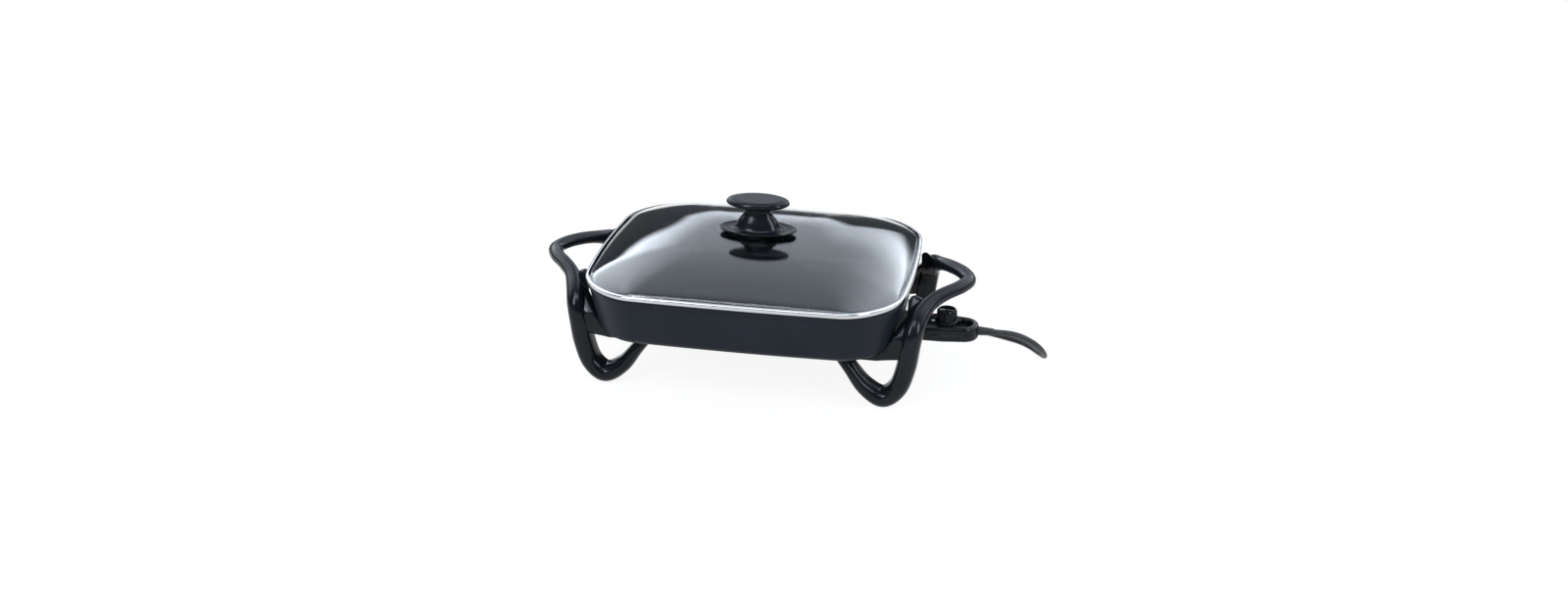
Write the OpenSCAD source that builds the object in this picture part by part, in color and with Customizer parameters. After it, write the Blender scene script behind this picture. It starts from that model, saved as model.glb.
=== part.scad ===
// Electric skillet: cast pan on two handle-and-leg mouldings, glass lid, plug-in heat control.
// Millimetres, +Z up. The origin lies on the table, midway between the four feet.
// +X is the heat-control side and -Y is the front.

/* [Pan] */
// Length over the rim
rim_l = 410; // [360:1:450]
// Width over the rim
rim_w = 330; // [300:1:360]
// Corner radius of the rim
corner_r = 66; // [56:1:80]
// How far the short sides bow out
end_bow = 12; // [6:0.5:16]
// How far the long sides bow out
side_bow = 5; // [3:0.5:8]
// Height of the pan's lip above the table
rim_z = 141; // [135:0.5:150]
// Height of the pan's underside above the table
pan_z = 75; // [73:0.5:80]
// How far the wall leans in from the lip to the underside
wall_lean = 15; // [10:0.5:18]
// Thickness of the wall
wall_t = 4; // [3:0.25:5]
// Thickness of the floor
floor_t = 6; // [5:0.25:8]
// Radius between the wall and the underside
bottom_r = 12; // [10:0.5:14]

/* [Lid] */
// Height of the steel band
band_h = 5.4; // [5.2:0.1:8]
// Thickness of the band's sheet
band_t = 0.8; // [0.6:0.1:0.8]
// Thickness of the glass
glass_t = 3.5; // [3:0.25:3.5]
// Rise of the glass above the lip at the middle
glass_rise = 37; // [32:0.5:44]

/* [Knob] */
// Length of the finger disc
knob_l = 81.5; // [76:0.5:90]
// Width over length of the finger disc
knob_oval = 0.58; // [0.52:0.01:0.7]
// Thickness of the finger disc
knob_t = 11; // [9:0.5:12]
// Height of the knob above the lip
knob_top = 82.5; // [80:0.5:95]
// Length of the saucer
saucer_l = 99.5; // [94:0.5:110]
// Width over length of the saucer and the neck
saucer_oval = 0.54; // [0.5:0.01:0.6]

/* [Handles] */
// Distance between the front and rear feet
foot_gap = 202; // [190:1:214]
// Distance between the left and right feet
foot_span = 356; // [350:1:364]
// Reach of each grip from the middle of the pan
grip_reach = 279.5; // [272:0.5:286]
// Depth of the leg's section from nose to back
leg_d = 30; // [26:0.5:32]
// Width of the leg's section where it turns at the foot
leg_w = 24; // [22:0.5:26]
// Height of the grip's section
grip_h = 15; // [13:0.5:17]
// Thickness of the mounting pads
pad_t = 11; // [10:0.25:12]

/* [Heating] */
// Diameter of the heating element
element_d = 7; // [6:0.25:8]
// Half length of the element's loop
loop_l = 125; // [115:1:130]
// Half width of the element's loop
loop_w = 78; // [66:1:80]
// Distance between the terminal pins
pin_gap = 26; // [25:0.5:28]
// Diameter of the terminal pins
pin_d = 4.8; // [4:0.1:5]

/* [Heat control] */
// Width of the control's body
ctl_w = 48; // [46:0.5:52]
// Height of the control's body
ctl_h = 19; // [18:0.25:20]
// Diameter of the finger ring
ring_d = 40; // [36:0.5:42]
// Diameter of the hole in the finger ring
ring_hole_d = 22; // [18:0.5:22]
// Diameter of the dial
dial_d = 26; // [24:0.5:28]
// Height of the dial above the body
dial_h = 17.5; // [14:0.5:20]
// Diameter of the sensor probe
probe_d = 7.8; // [6:0.1:8]

/* [Cord] */
// Diameter of the cord
cord_d = 7; // [6.5:0.1:7.5]
// Radius of the coil at the middle of its turns
coil_r = 38; // [36:0.5:41]
// Width of the plug
plug_w = 26; // [24:0.5:28]

/* [Hidden] */
$fn = 64;

// Clearances
gap = 0.3;       // between pieces of different bodies
fit = 0.06;      // radial, where a pin or shaft runs in a bore
seat = 0.1;      // radial, where a screw or tube stands in its hole

// Colours
black = [0.07, 0.07, 0.09];
charcoal = [0.19, 0.20, 0.22];
steel = [0.78, 0.79, 0.80];
ceramic = [0.92, 0.91, 0.87];
brass = [0.80, 0.66, 0.36];

// ---------- Rim outline ----------
corner_steps = 8;
side_steps = 6;

function corner(c, r, a) = [c.x + r * cos(a), c.y + r * sin(a)];
function bowed(p, ax, by) = [
    p.x + sign(p.x) * end_bow * (1 - pow(p.y / by, 2)) * pow(abs(p.x) / ax, 8),
    p.y + sign(p.y) * side_bow * (1 - pow(p.x / ax, 2)) * pow(abs(p.y) / by, 8)
];
// Points round the rim's outline, drawn in by inset, anticlockwise from above.
function outline(inset) =
    let (
        ax = rim_l / 2 - end_bow - inset,
        by = rim_w / 2 - side_bow - inset,
        r = corner_r - inset,
        centres = [for (s = [[1, 1], [-1, 1], [-1, -1], [1, -1]]) [s.x * (ax - r), s.y * (by - r)]]
    )
    [for (q = [0:3]) each concat(
        [for (k = [0:corner_steps]) bowed(corner(centres[q], r, 90 * (q + k / corner_steps)), ax, by)],
        [for (k = [1:side_steps - 1]) bowed(
            corner(centres[q], r, 90 * (q + 1)) * (1 - k / side_steps)
            + corner(centres[(q + 1) % 4], r, 90 * (q + 1)) * k / side_steps, ax, by)]
    )];
function lifted(points, z) = [for (p = points) [p.x, p.y, z]];
function ring_at(p) = lifted(outline(p[0]), p[1]);
// A share of the outline, which turns into an oval towards the middle.
function shrunk(share, inset) = [for (p = outline(inset))
    let (oval = p / norm([2 * p.x / rim_l, 2 * p.y / rim_w])) share * (share * p + (1 - share) * oval)];

// ---------- Skins over rings of points ----------
function side_faces(n, m, wrap = false) = [
    for (j = [0:(wrap ? m - 1 : m - 2)], i = [0:n - 1])
    let (a = j * n + i, b = ((j + 1) % m) * n + i, c = ((j + 1) % m) * n + (i + 1) % n, d = j * n + (i + 1) % n)
    each [[a, b, c], [a, c, d]]
];
module loft(rings) {
    n = len(rings[0]);
    m = len(rings);
    polyhedron(
        points = [for (r = rings) each r],
        faces = concat([[for (i = [0:n - 1]) i]], side_faces(n, m), [[for (i = [n - 1:-1:0]) (m - 1) * n + i]])
    );
}
module loft_round(rings) {
    polyhedron(points = [for (r = rings) each r], faces = side_faces(len(rings[0]), len(rings), true));
}

// ---------- Smooth path through points ----------
function smooth(p0, p1, p2, p3, t) = 0.5 * (2 * p1 + (p2 - p0) * t
    + (2 * p0 - 5 * p1 + 4 * p2 - p3) * t * t + (3 * p1 - p0 - 3 * p2 + p3) * t * t * t);
function spline(p, steps) = concat(
    [for (i = [0:len(p) - 2], k = [0:steps - 1])
        smooth(p[max(i - 1, 0)], p[i], p[i + 1], p[min(i + 2, len(p) - 1)], k / steps)],
    [p[len(p) - 1]]
);
function unit(v) = v / norm(v);
function heading(path, i) = unit(path[min(i + 1, len(path) - 1)] - path[max(i - 1, 0)]);

// ---------- Pan ----------
pan_bead = 1;
lip_w = wall_t + pan_bead;
floor_z = pan_z + floor_t;
wall_run = rim_z - pan_z;
// The wall's inset at a height, on its outside.
function wall_inset(z) = pan_bead + 1 + (wall_lean - pan_bead - 1) * (rim_z - z) / wall_run;
inner_r = 10;
function arc_in(centre, r, a0, a1, steps) =
    [for (k = [0:steps]) let (a = a0 + (a1 - a0) * k / steps) [centre.x - r * cos(a), centre.y + r * sin(a)]];
bottom_c = [wall_inset(pan_z + bottom_r) + bottom_r, pan_z + bottom_r];
inner_c = [wall_inset(floor_z + inner_r) + wall_t + inner_r, floor_z + inner_r];
bead_h = 6;
pan_outside = concat(
    arc_in(bottom_c, bottom_r, -90, -10, 5),
    [[wall_inset(rim_z - bead_h), rim_z - bead_h], [pan_bead, rim_z - bead_h + 1.4], [pan_bead, rim_z - 0.6],
     [pan_bead + 0.6, rim_z]]
);
pan_inside = concat(
    [[lip_w + 0.5, rim_z], [lip_w + 1.5, rim_z - 1.2]],
    arc_in(inner_c, inner_r, -10, -90, 4)
);
flat_inset = bottom_c.x;

// Heating element and what stands round it
ctl_z = pan_z - 10;
loop_r = 40;
lead_r = 20;
pin_y = pin_gap / 2;
cold_end = 172;
ridge_w = 12;

// Handle bosses under the pan
boss_x = 108;
boss_y = foot_gap / 2;
boss_r = 7;
boss_h = 5;
screw_r = 2;
pilot_depth = floor_t - 2;
guard_screw_x = 165;
guard_screw_y = ctl_w / 2 + 2;
guard_screw_r = 1.5;

// Sensor bore, whose boss stops short of the terminal guard
guard_x = 177;
sensor_r = probe_d / 2 + fit;
sensor_tip = 118;
sensor_mouth = guard_x - 9;
sensor_boss_r = 8;

// One profile carried along the element's route, for one side of the pan.
module along_half_loop() {
    translate([lead_x, pin_y, ctl_z]) rotate([90, 0, 90]) linear_extrude(cold_end - lead_x) children();
    translate([lead_x, pin_y + lead_r, ctl_z]) rotate([0, 0, 180]) rotate_extrude(angle = 90)
        translate([lead_r, 0]) children();
    translate([loop_l, pin_y + lead_r, ctl_z]) rotate([-90, 0, 0])
        linear_extrude(loop_w - loop_r - pin_y - lead_r) mirror([0, 1]) children();
    translate([loop_l - loop_r, loop_w - loop_r, ctl_z]) rotate_extrude(angle = 90)
        translate([loop_r, 0]) children();
    translate([loop_r - loop_l, loop_w, ctl_z]) rotate([90, 0, 90])
        linear_extrude(2 * (loop_l - loop_r)) children();
    translate([loop_r - loop_l, loop_w - loop_r, ctl_z]) rotate([0, 0, 90]) rotate_extrude(angle = 90)
        translate([loop_r, 0]) children();
    translate([-loop_l, 0, ctl_z]) rotate([-90, 0, 0])
        linear_extrude(loop_w - loop_r) mirror([0, 1]) children();
}
lead_x = loop_l + lead_r;
module along_loop() {
    along_half_loop() children();
    mirror([0, 1, 0]) along_half_loop() children();
}

module pan_body() color(charcoal) difference() {
    union() {
        loft([for (p = concat(pan_outside, pan_inside)) ring_at(p)]);
        along_loop() translate([-ridge_w / 2, 0]) square([ridge_w, pan_z - ctl_z + 1]);
        for (x = [-boss_x, boss_x], y = [-boss_y, boss_y])
            translate([x, y, pan_z - boss_h]) cylinder(r = boss_r, h = boss_h + 1);
        translate([sensor_tip - 6, 0, ctl_z]) rotate([0, 90, 0])
            cylinder(r = sensor_boss_r, h = sensor_mouth - sensor_tip + 6);
        translate([sensor_tip - 6, -5, ctl_z]) cube([sensor_mouth - sensor_tip + 6, 10, pan_z - ctl_z + 1]);
    }
    along_loop() circle(r = element_d / 2 + seat);
    for (x = [-boss_x, boss_x], y = [-boss_y, boss_y])
        translate([x, y, pan_z - boss_h - 1]) cylinder(r = screw_r + seat, h = boss_h + pilot_depth + 1);
    for (y = [-guard_screw_y, guard_screw_y])
        translate([guard_screw_x, y, pan_z - 1]) cylinder(r = guard_screw_r + seat, h = pilot_depth + 1);
    translate([sensor_tip - 2, 0, ctl_z]) rotate([0, 90, 0])
        cylinder(r = sensor_r, h = sensor_mouth - sensor_tip + 3);
}

module heating_element() color(steel) along_loop() circle(r = element_d / 2);

// ---------- Terminals ----------
pin_end = 201;
collar_l = 10;
collar_r = 4.5;
module terminal_pins() color(steel) for (y = [-pin_y, pin_y])
    translate([cold_end, y, ctl_z]) rotate([0, 90, 0]) union() {
        cylinder(r = pin_d / 2, h = pin_end - cold_end - 1.5);
        translate([0, 0, pin_end - cold_end - 1.5]) cylinder(r1 = pin_d / 2, r2 = pin_d / 2 - 1, h = 1.5);
    }
module pin_insulators() color(ceramic) for (y = [-pin_y, pin_y])
    translate([cold_end, y, ctl_z]) rotate([0, 90, 0]) difference() {
        cylinder(r = collar_r, h = collar_l);
        translate([0, 0, -1]) cylinder(r = pin_d / 2 + seat, h = collar_l + 2);
    }

// Guard round the terminals, open to the heat control
nose_l = 22;
body_x = 206.5;
nose_w = ctl_w - 8;
nose_h = ctl_h - 6;
guard_t = 1.8;
guard_back = 2.5;
ear_t = 4;
ear_w = 12;
module guard_tube(wide, high) cube([body_x - gap - guard_x, wide, high]);
module terminal_guard() color(black) difference() {
    union() {
        difference() {
            translate([guard_x, -nose_w / 2 - gap - guard_t, ctl_z - nose_h / 2 - gap - guard_t])
                guard_tube(nose_w + 2 * (gap + guard_t), nose_h + 2 * (gap + guard_t));
            translate([guard_x + guard_back, -nose_w / 2 - gap, ctl_z - nose_h / 2 - gap])
                guard_tube(nose_w + 2 * gap, nose_h + 2 * gap);
        }
        for (s = [-1, 1]) hull() {
            translate([guard_screw_x, s * guard_screw_y, pan_z - ear_t]) cylinder(d = ear_w, h = ear_t);
            translate([guard_x + 6, s * (guard_screw_y - 3), pan_z - ear_t]) cylinder(d = 5, h = ear_t);
        }
    }
    for (y = [-pin_y, pin_y])
        translate([guard_x - 1, y, ctl_z]) rotate([0, 90, 0]) cylinder(r = collar_r + seat, h = guard_back + 2);
    translate([guard_x - 1, 0, ctl_z]) rotate([0, 90, 0]) cylinder(r = probe_d / 2 + 1, h = guard_back + 2);
    for (y = [-guard_screw_y, guard_screw_y])
        translate([guard_screw_x, y, pan_z - ear_t - 1]) cylinder(r = guard_screw_r + seat, h = ear_t + 2);
}
module screw(r, head_r, head_h, length) {
    translate([0, 0, -head_h]) difference() {
        cylinder(r = head_r, h = head_h);
        translate([-head_r, -0.5, -1]) cube([2 * head_r, 1, head_h / 2 + 1]);
    }
    cylinder(r = r, h = length);
}
module guard_screws() color(steel) for (y = [-guard_screw_y, guard_screw_y])
    translate([guard_screw_x, y, pan_z - ear_t]) screw(guard_screw_r, 3, 2, ear_t + pilot_depth - 0.5);

// ---------- Handle and leg mouldings ----------
fx = foot_span / 2;
fy = foot_gap / 2;
grip_z = rim_z - 7.5;
grip_w = 19;
foot_flat = 0.6;   // how much of each foot's round is ground away where it stands
// Front half of the centre line: place, width and depth of the section, nose direction, squareness of the back.
// Each row: [[x, y, z], [width, depth], [nose direction], back]
front_stations = [
    [[fx - 58, 4 - fy, pan_z - 8.5], [13, leg_d - 8], [0, -1, 0], 0.45],
    [[fx - 42, 2 - fy, pan_z - 27], [16.5, leg_d - 4], [0, -1, 0], 0.45],
    [[fx - 23, 1 - fy, 24], [20.5, leg_d - 1], [0, -1, 0], 0.45],
    [[fx, -fy, leg_w / 2 - foot_flat], [leg_w, leg_d], [0, -1, 0], 0.45],
    [[fx + 18.5, -fy, 26], [leg_w + 0.5, leg_d], [0, -1, 0], 0.45],
    [[fx + 28, -fy, 55], [leg_w + 1, leg_d], [0, -1, 0], 0.45],
    [[fx + 31.5, -fy, 80], [leg_w + 1.5, leg_d], [0, -1, 0], 0.45],
    [[fx + 35, 3 - fy, rim_z - 39], [leg_w + 1.5, leg_d - 2], [0.1, -1, 0.1], 0.5],
    [[fx + 40.5, 15 - fy, rim_z - 24], [leg_w - 0.5, leg_d - 8], [0.35, -0.8, 0.5], 0.65],
    [[grip_reach - 50, 38 - fy, rim_z - 14], [grip_w, leg_d - 12], [0.3, -0.4, 0.9], 0.8],
    [[grip_reach - 35, -44, grip_z - 1.5], [grip_w - 1, grip_h + 1], [0, -0.1, 1], 0.85],
    [[grip_reach - 18, -23, grip_z], [grip_w - 0.5, grip_h + 0.5], [0, 0, 1], 0.85]
];
middle_station = [[grip_reach - grip_w / 2, 0, grip_z], [grip_w, grip_h], [0, 0, 1], 0.85];
function mirrored(v) = [v.x, -v.y, v.z];
stations = concat(
    front_stations,
    [middle_station],
    [for (i = [len(front_stations) - 1:-1:0]) let (s = front_stations[i])
        [mirrored(s[0]), s[1], mirrored(s[2]), s[3]]]
);
handle_steps = 3;
section_sides = 14;
function power(v, e) = sign(v) * pow(abs(v), e);
function handle_section(size, back) = [for (i = [0:section_sides - 1])
    let (a = 360 * i / section_sides, e = sin(a) < 0 ? back : 0.9)
    [size[0] / 2 * power(cos(a), e), size[1] / 2 * power(sin(a), e)]];
handle_path = spline([for (s = stations) s[0]], handle_steps);
handle_size = spline([for (s = stations) s[1]], handle_steps);
handle_nose = spline([for (s = stations) s[2]], handle_steps);
handle_back = spline([for (s = stations) [s[3], 0]], handle_steps);
handle_rings = [for (i = [0:len(handle_path) - 1])
    let (
        t = heading(handle_path, i),
        b = unit(handle_nose[i] - t * (handle_nose[i] * t)),
        n = cross(b, t)
    )
    [for (p = handle_section(handle_size[i], handle_back[i][0])) handle_path[i] + p.x * n + p.y * b]];

pad_in = boss_x - 10;
pad_out = fx + 28;
pad_w = 24;
gusset_mid = pan_z + 27;
gusset_top = rim_z - 20;
pan_clear = 0.5;
// Outside of the pan, grown by the clearance that the moulding keeps from it.
pan_space = concat(
    [[flat_inset, pan_z]],
    arc_in(bottom_c, bottom_r + pan_clear, -70, -10, 3),
    [[wall_inset(rim_z - bead_h) - pan_clear, rim_z - bead_h], [0, rim_z], [0, rim_z + leg_d]]
);
module handle_leg_right() color(black) difference() {
    union() {
        loft(handle_rings);
        for (s = [-1, 1]) {
            // pad under the pan's corner, with a gusset that rises behind the wall to the outer arm
            translate([pad_in, s * fy - pad_w / 2, pan_z - pad_t])
                cube([fx - 6 - pad_in, pad_w, pad_t]);
            hull() {
                translate([fx - 10, s * fy - pad_w / 2, pan_z - pad_t]) cube([4, pad_w, pad_t]);
                translate([pad_out - 4, s * fy - pad_w / 2 + 3, pan_z - pad_t + 2])
                    cube([4, pad_w - 6, gusset_mid - pan_z + pad_t - 2]);
                translate([pad_out, s * (fy - 17) - 5, gusset_mid]) cube([5, 10, gusset_top - gusset_mid]);
            }
        }
    }
    for (y = [-boss_y, boss_y]) {
        translate([boss_x, y, pan_z - boss_h - gap]) cylinder(r = boss_r + gap, h = boss_h + 5);
        translate([boss_x, y, 0]) cylinder(r = screw_r + 3 * seat, h = pan_z);
    }
    translate([0, -fy - leg_d, -leg_d]) cube([grip_reach, foot_gap + 2 * leg_d, leg_d]);
    loft([for (p = pan_space) ring_at(p)]);
}
module handle_leg_left() mirror([1, 0, 0]) handle_leg_right();

washer_t = 1;
module at_handle_bosses() for (x = [-boss_x, boss_x], y = [-boss_y, boss_y])
    translate([x, y, pan_z - pad_t]) children();
module handle_washers() color(steel) at_handle_bosses() translate([0, 0, -washer_t]) difference() {
    cylinder(r = 5.5, h = washer_t);
    translate([0, 0, -1]) cylinder(r = screw_r + seat, h = washer_t + 2);
}
module handle_screws() color(steel) at_handle_bosses() translate([0, 0, -washer_t])
    screw(screw_r, 4, 3, washer_t + pad_t + pilot_depth - 0.5);

// ---------- Lid ----------
flange_w = 5.5;
glass_edge = band_t + gap;
glass_low = rim_z + band_t;
// The glass lies flat in the band, then rises as a dome to a flat patch under the knob.
flat_share = 0.19;
glass_shares = [1, 0.985, 0.96, 0.92, 0.86, 0.77, 0.64, 0.46, 0.32, flat_share];
function dome(share) = (glass_rise - band_t - glass_t) * pow(1 - pow(share, 2.6), 0.72);
function dome_rings(low) = [for (s = glass_shares) lifted(shrunk(s, flange_w), low + dome(s))];
function turned(rings) = [for (i = [len(rings) - 1:-1:0]) rings[i]];
screw_hole_r = 4;
module lid_glass() color([0.75, 0.82, 0.88, 0.4]) difference() {
    loft(concat(
        turned(dome_rings(glass_low)),
        [ring_at([glass_edge, glass_low]), ring_at([glass_edge, glass_low + glass_t])],
        dome_rings(glass_low + glass_t)
    ));
    translate([0, 0, rim_z]) cylinder(r = screw_hole_r, h = knob_top);
}
band_profile = [
    [flange_w, rim_z], [0.6, rim_z], [0, rim_z + 0.6], [0, rim_z + band_h - 0.6], [0.6, rim_z + band_h],
    [flange_w - 2, rim_z + band_h + 0.8], [flange_w - 2, rim_z + band_h + 0.8 - band_t],
    [band_t, rim_z + band_h - band_t], [band_t, rim_z + band_t], [flange_w, rim_z + band_t]
];
module lid_band() color(steel) loft_round([for (p = band_profile) ring_at(p)]);

// ---------- Knob ----------
dome_top = glass_low + glass_t + dome(flat_share);
gasket_r = 20;
gasket_t = 2;
base_z = dome_top + gasket_t;
neck_h = 7;
neck_r = 17.5;
skirt_r = 26.5;
skirt_h = 12;
grip_low = rim_z + knob_top - knob_t - neck_h;
oval_sides = 40;
// An oval ring for each [half length, height] of a profile.
function oval_rings(profile, low, oval) = [for (p = profile) [for (k = [0:oval_sides - 1])
    [p[0] * cos(360 * k / oval_sides), p[0] * oval * sin(360 * k / oval_sides), low + p[1]]]];
module knob_gasket() color([0.15, 0.15, 0.16]) translate([0, 0, dome_top]) difference() {
    cylinder(r = gasket_r, h = gasket_t);
    translate([0, 0, -1]) cylinder(r = screw_hole_r, h = gasket_t + 2);
}
knob_screw_r = 2.5;
saucer_r = saucer_l / 2;
saucer_t = 4;
module knob_base() color(black) difference() {
    loft(oval_rings([
        [saucer_r - 10, 0], [saucer_r - 2, saucer_t / 3], [saucer_r, saucer_t * 0.75],
        [saucer_r - 0.8, saucer_t], [saucer_r - 4, saucer_t * 0.85], [saucer_r - 13, saucer_t * 0.7],
        [skirt_r + 6, saucer_t * 0.9], [skirt_r + 2.5, skirt_h * 0.55], [skirt_r, skirt_h],
        [neck_r + 3, skirt_h + 8], [neck_r, grip_low - base_z]
    ], base_z, saucer_oval));
    translate([0, 0, base_z - 1]) cylinder(r = knob_screw_r + seat, h = knob_top);
}
// The disc: a shallow lens below, its widest ring low down, and a rounded shoulder above.
lens_h = 2;
low_h = 3;
shoulder_h = knob_t - lens_h - low_h;
module knob_grip() color(black) difference() {
    loft(oval_rings(concat(
        [[neck_r - 1.5, 0], [neck_r - 1.5, neck_h - 2], [neck_r + 3, neck_h]],
        [for (a = [-75:15:75]) [
            knob_l / 2 - shoulder_h * (1 - cos(a)),
            neck_h + lens_h + low_h + (a < 0 ? low_h : shoulder_h) * sin(a)
        ]],
        [[knob_l / 4, neck_h + knob_t]]
    ), grip_low, knob_oval));
    translate([0, 0, grip_low - 1]) cylinder(r = knob_screw_r + seat, h = neck_h + 2);
}
under_l = saucer_l - 29;
under_t = 2.5;
under_z = glass_low + dome(flat_share) - under_t;
module knob_washer() color(black) difference() {
    loft(oval_rings([[under_l / 2 - 1.5, 0], [under_l / 2, under_t]], under_z, saucer_oval));
    translate([0, 0, under_z - 1]) cylinder(r = knob_screw_r + seat, h = under_t + 2);
}
module knob_screw() color(steel) translate([0, 0, under_z])
    screw(knob_screw_r, 6, 3, grip_low + neck_h - under_z);

// ---------- Heat control ----------
ctl_low = ctl_z - ctl_h / 2;
ctl_top = ctl_z + ctl_h / 2;
ring_x = body_x + 59.5;
shell_t = 2;
dial_x = body_x + 38.5;
shaft_r = 3;
cam_r = 4.5;
cam_off = 1;       // how far the cam's middle lies from the shaft's
pilot_x = body_x + 17.5;
pilot_y = ctl_w / 2 - 6.5;
pilot_r = 2.5;
ctl_screws = [[body_x + 6.5, 18.5], [body_x + 6.5, -18.5], [dial_x + 8, 10.5], [dial_x + 8, -10.5]];
ctl_screw_r = 1.5;

module control_plan() difference() {
    hull() {
        for (y = [-1, 1]) translate([body_x + 4, y * (ctl_w / 2 - 4)]) circle(r = 4);
        for (y = [-1, 1]) translate([dial_x - 5, y * (ctl_w / 2 - 8)]) circle(r = 8);
        translate([ring_x, 0]) circle(d = ring_d);
    }
    translate([ring_x, 0]) circle(d = ring_hole_d);
}
module cavity_plan() difference() {
    hull() {
        for (y = [-1, 1]) translate([body_x + 5, y * (ctl_w / 2 - 5)]) circle(r = 3);
        for (y = [-1, 1]) translate([dial_x + cam_r - 0.5, y * (ctl_w / 2 - 9)]) circle(r = 3);
    }
    for (p = ctl_screws) translate(p) circle(r = 3.4);
}
// The body below or above the parting plane, without its holes.
module control_half(low, high, cavity_low, cavity_high) difference() {
    union() {
        translate([0, 0, low]) linear_extrude(high - low) control_plan();
        translate([body_x - nose_l, -nose_w / 2, max(low, ctl_z - nose_h / 2)])
            cube([nose_l + 2, nose_w, min(high, ctl_z + nose_h / 2) - max(low, ctl_z - nose_h / 2)]);
    }
    translate([0, 0, cavity_low]) linear_extrude(cavity_high - cavity_low) cavity_plan();
    // sensor probe and contact sockets in the nose
    translate([body_x - nose_l - 1, 0, ctl_z]) rotate([0, 90, 0])
        cylinder(r = probe_d / 2 + seat, h = nose_l + 6);
    for (y = [-pin_y, pin_y]) translate([body_x - nose_l - 1, y, ctl_z]) rotate([0, 90, 0])
        cylinder(r = socket_r + seat, h = nose_l + 6);
    translate([root_x - seat, 0, ctl_z]) rotate([0, 90, 0]) cylinder(r = relief_r + seat, h = 20);
}
socket_r = 3.5;
relief_r = cord_d / 2 + 2.2;
root_x = ring_x + ring_hole_d / 2 + 2;
bevel = 1.6;

module control_upper() color(black) difference() {
    union() {
        control_half(ctl_z, ctl_top, ctl_z - 1, ctl_top - shell_t);
        translate([dial_x - dial_d / 2 - 3.5, -0.6, ctl_top]) cube([2.2, 1.2, 0.6]);
    }
    translate([dial_x, 0, ctl_z]) cylinder(r = shaft_r + fit, h = ctl_h);
    translate([pilot_x, pilot_y, ctl_z]) cylinder(r = pilot_r + seat, h = ctl_h);
    // bevel round the finger hole
    translate([ring_x, 0, ctl_top - bevel]) cylinder(d1 = ring_hole_d, d2 = ring_hole_d + 2 * bevel, h = bevel);
    translate([ring_x, 0, ctl_top]) cylinder(d = ring_hole_d + 2 * bevel, h = 1);
    for (p = ctl_screws) translate([p.x, p.y, ctl_z - 1]) cylinder(r = ctl_screw_r + seat, h = 6);
    // softened top edge along the body's front and rear
    for (s = [-1, 1]) translate([body_x - 1, s * ctl_w / 2, ctl_top]) rotate([45, 0, 0])
        translate([0, -0.8, -0.8]) cube([dial_x - body_x, 1.6, 1.6]);
}
module control_lower() color(black) difference() {
    control_half(ctl_low, ctl_z, ctl_low + shell_t, ctl_z + 1);
    for (p = ctl_screws) translate([p.x, p.y, ctl_low - 1]) {
        cylinder(r = ctl_screw_r + seat, h = ctl_h);
        cylinder(r = 3, h = 3);
    }
}
module control_screws() color(steel) for (p = ctl_screws)
    translate([p.x, p.y, ctl_low + 2]) screw(ctl_screw_r, 2.8, 1.8, ctl_z - ctl_low + 2);

flutes = 20;
flute_r = 1.1;
dial_low = ctl_top + gap;
dial_skirt = 2;
dial_recess = 5;
dial_wall = 2.6;
dial_rim = 1.4;    // height of the tapered rim above the flutes
bar_w = 5;
shaft_in = 8;      // how far the shaft goes into the dial
module dial_plan() difference() {
    circle(d = dial_d);
    for (i = [0:flutes - 1]) rotate(360 * (i + 0.5) / flutes) translate([(dial_d + 1) / 2, 0])
        circle(r = flute_r);
}
module dial() color(black) translate([dial_x, 0, dial_low]) difference() {
    union() {
        difference() {
            union() {
                cylinder(r = dial_d / 2 + 1, h = dial_skirt);
                linear_extrude(dial_h - dial_rim) dial_plan();
                translate([0, 0, dial_h - dial_rim])
                    cylinder(r1 = dial_d / 2 - flute_r, r2 = dial_d / 2 - flute_r - 1, h = 1);
            }
            translate([0, 0, dial_h - dial_recess]) cylinder(r = dial_d / 2 - dial_wall, h = dial_recess);
        }
        // bar across the recess
        translate([1 - dial_d / 2 + dial_wall, -bar_w / 2, dial_skirt])
            cube([dial_d - 2 * dial_wall - 2, bar_w, dial_h - dial_skirt - dial_rim]);
    }
    translate([0, 0, -1]) cylinder(r = shaft_r + seat, h = shaft_in + 1);
}
shaft_low = ctl_low + shell_t + gap;
module dial_shaft() color(steel) union() {
    translate([dial_x, 0, shaft_low]) cylinder(r = shaft_r, h = dial_low + shaft_in - shaft_low);
    translate([dial_x - cam_off, 0, ctl_z + 3]) cylinder(r = cam_r, h = 2.5);
}
module pilot_lens() color([0.75, 0.12, 0.08]) translate([pilot_x, pilot_y, ctl_top - shell_t]) union() {
    cylinder(r = pilot_r, h = shell_t);
    translate([0, 0, shell_t]) cylinder(r1 = pilot_r, r2 = pilot_r - 0.8, h = 0.8);
}
module pilot_lamp() color([1, 0.6, 0.4]) translate([pilot_x, pilot_y, ctl_low + shell_t])
    cylinder(r = pilot_r - 0.3, h = ctl_h - 2 * shell_t);

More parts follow.
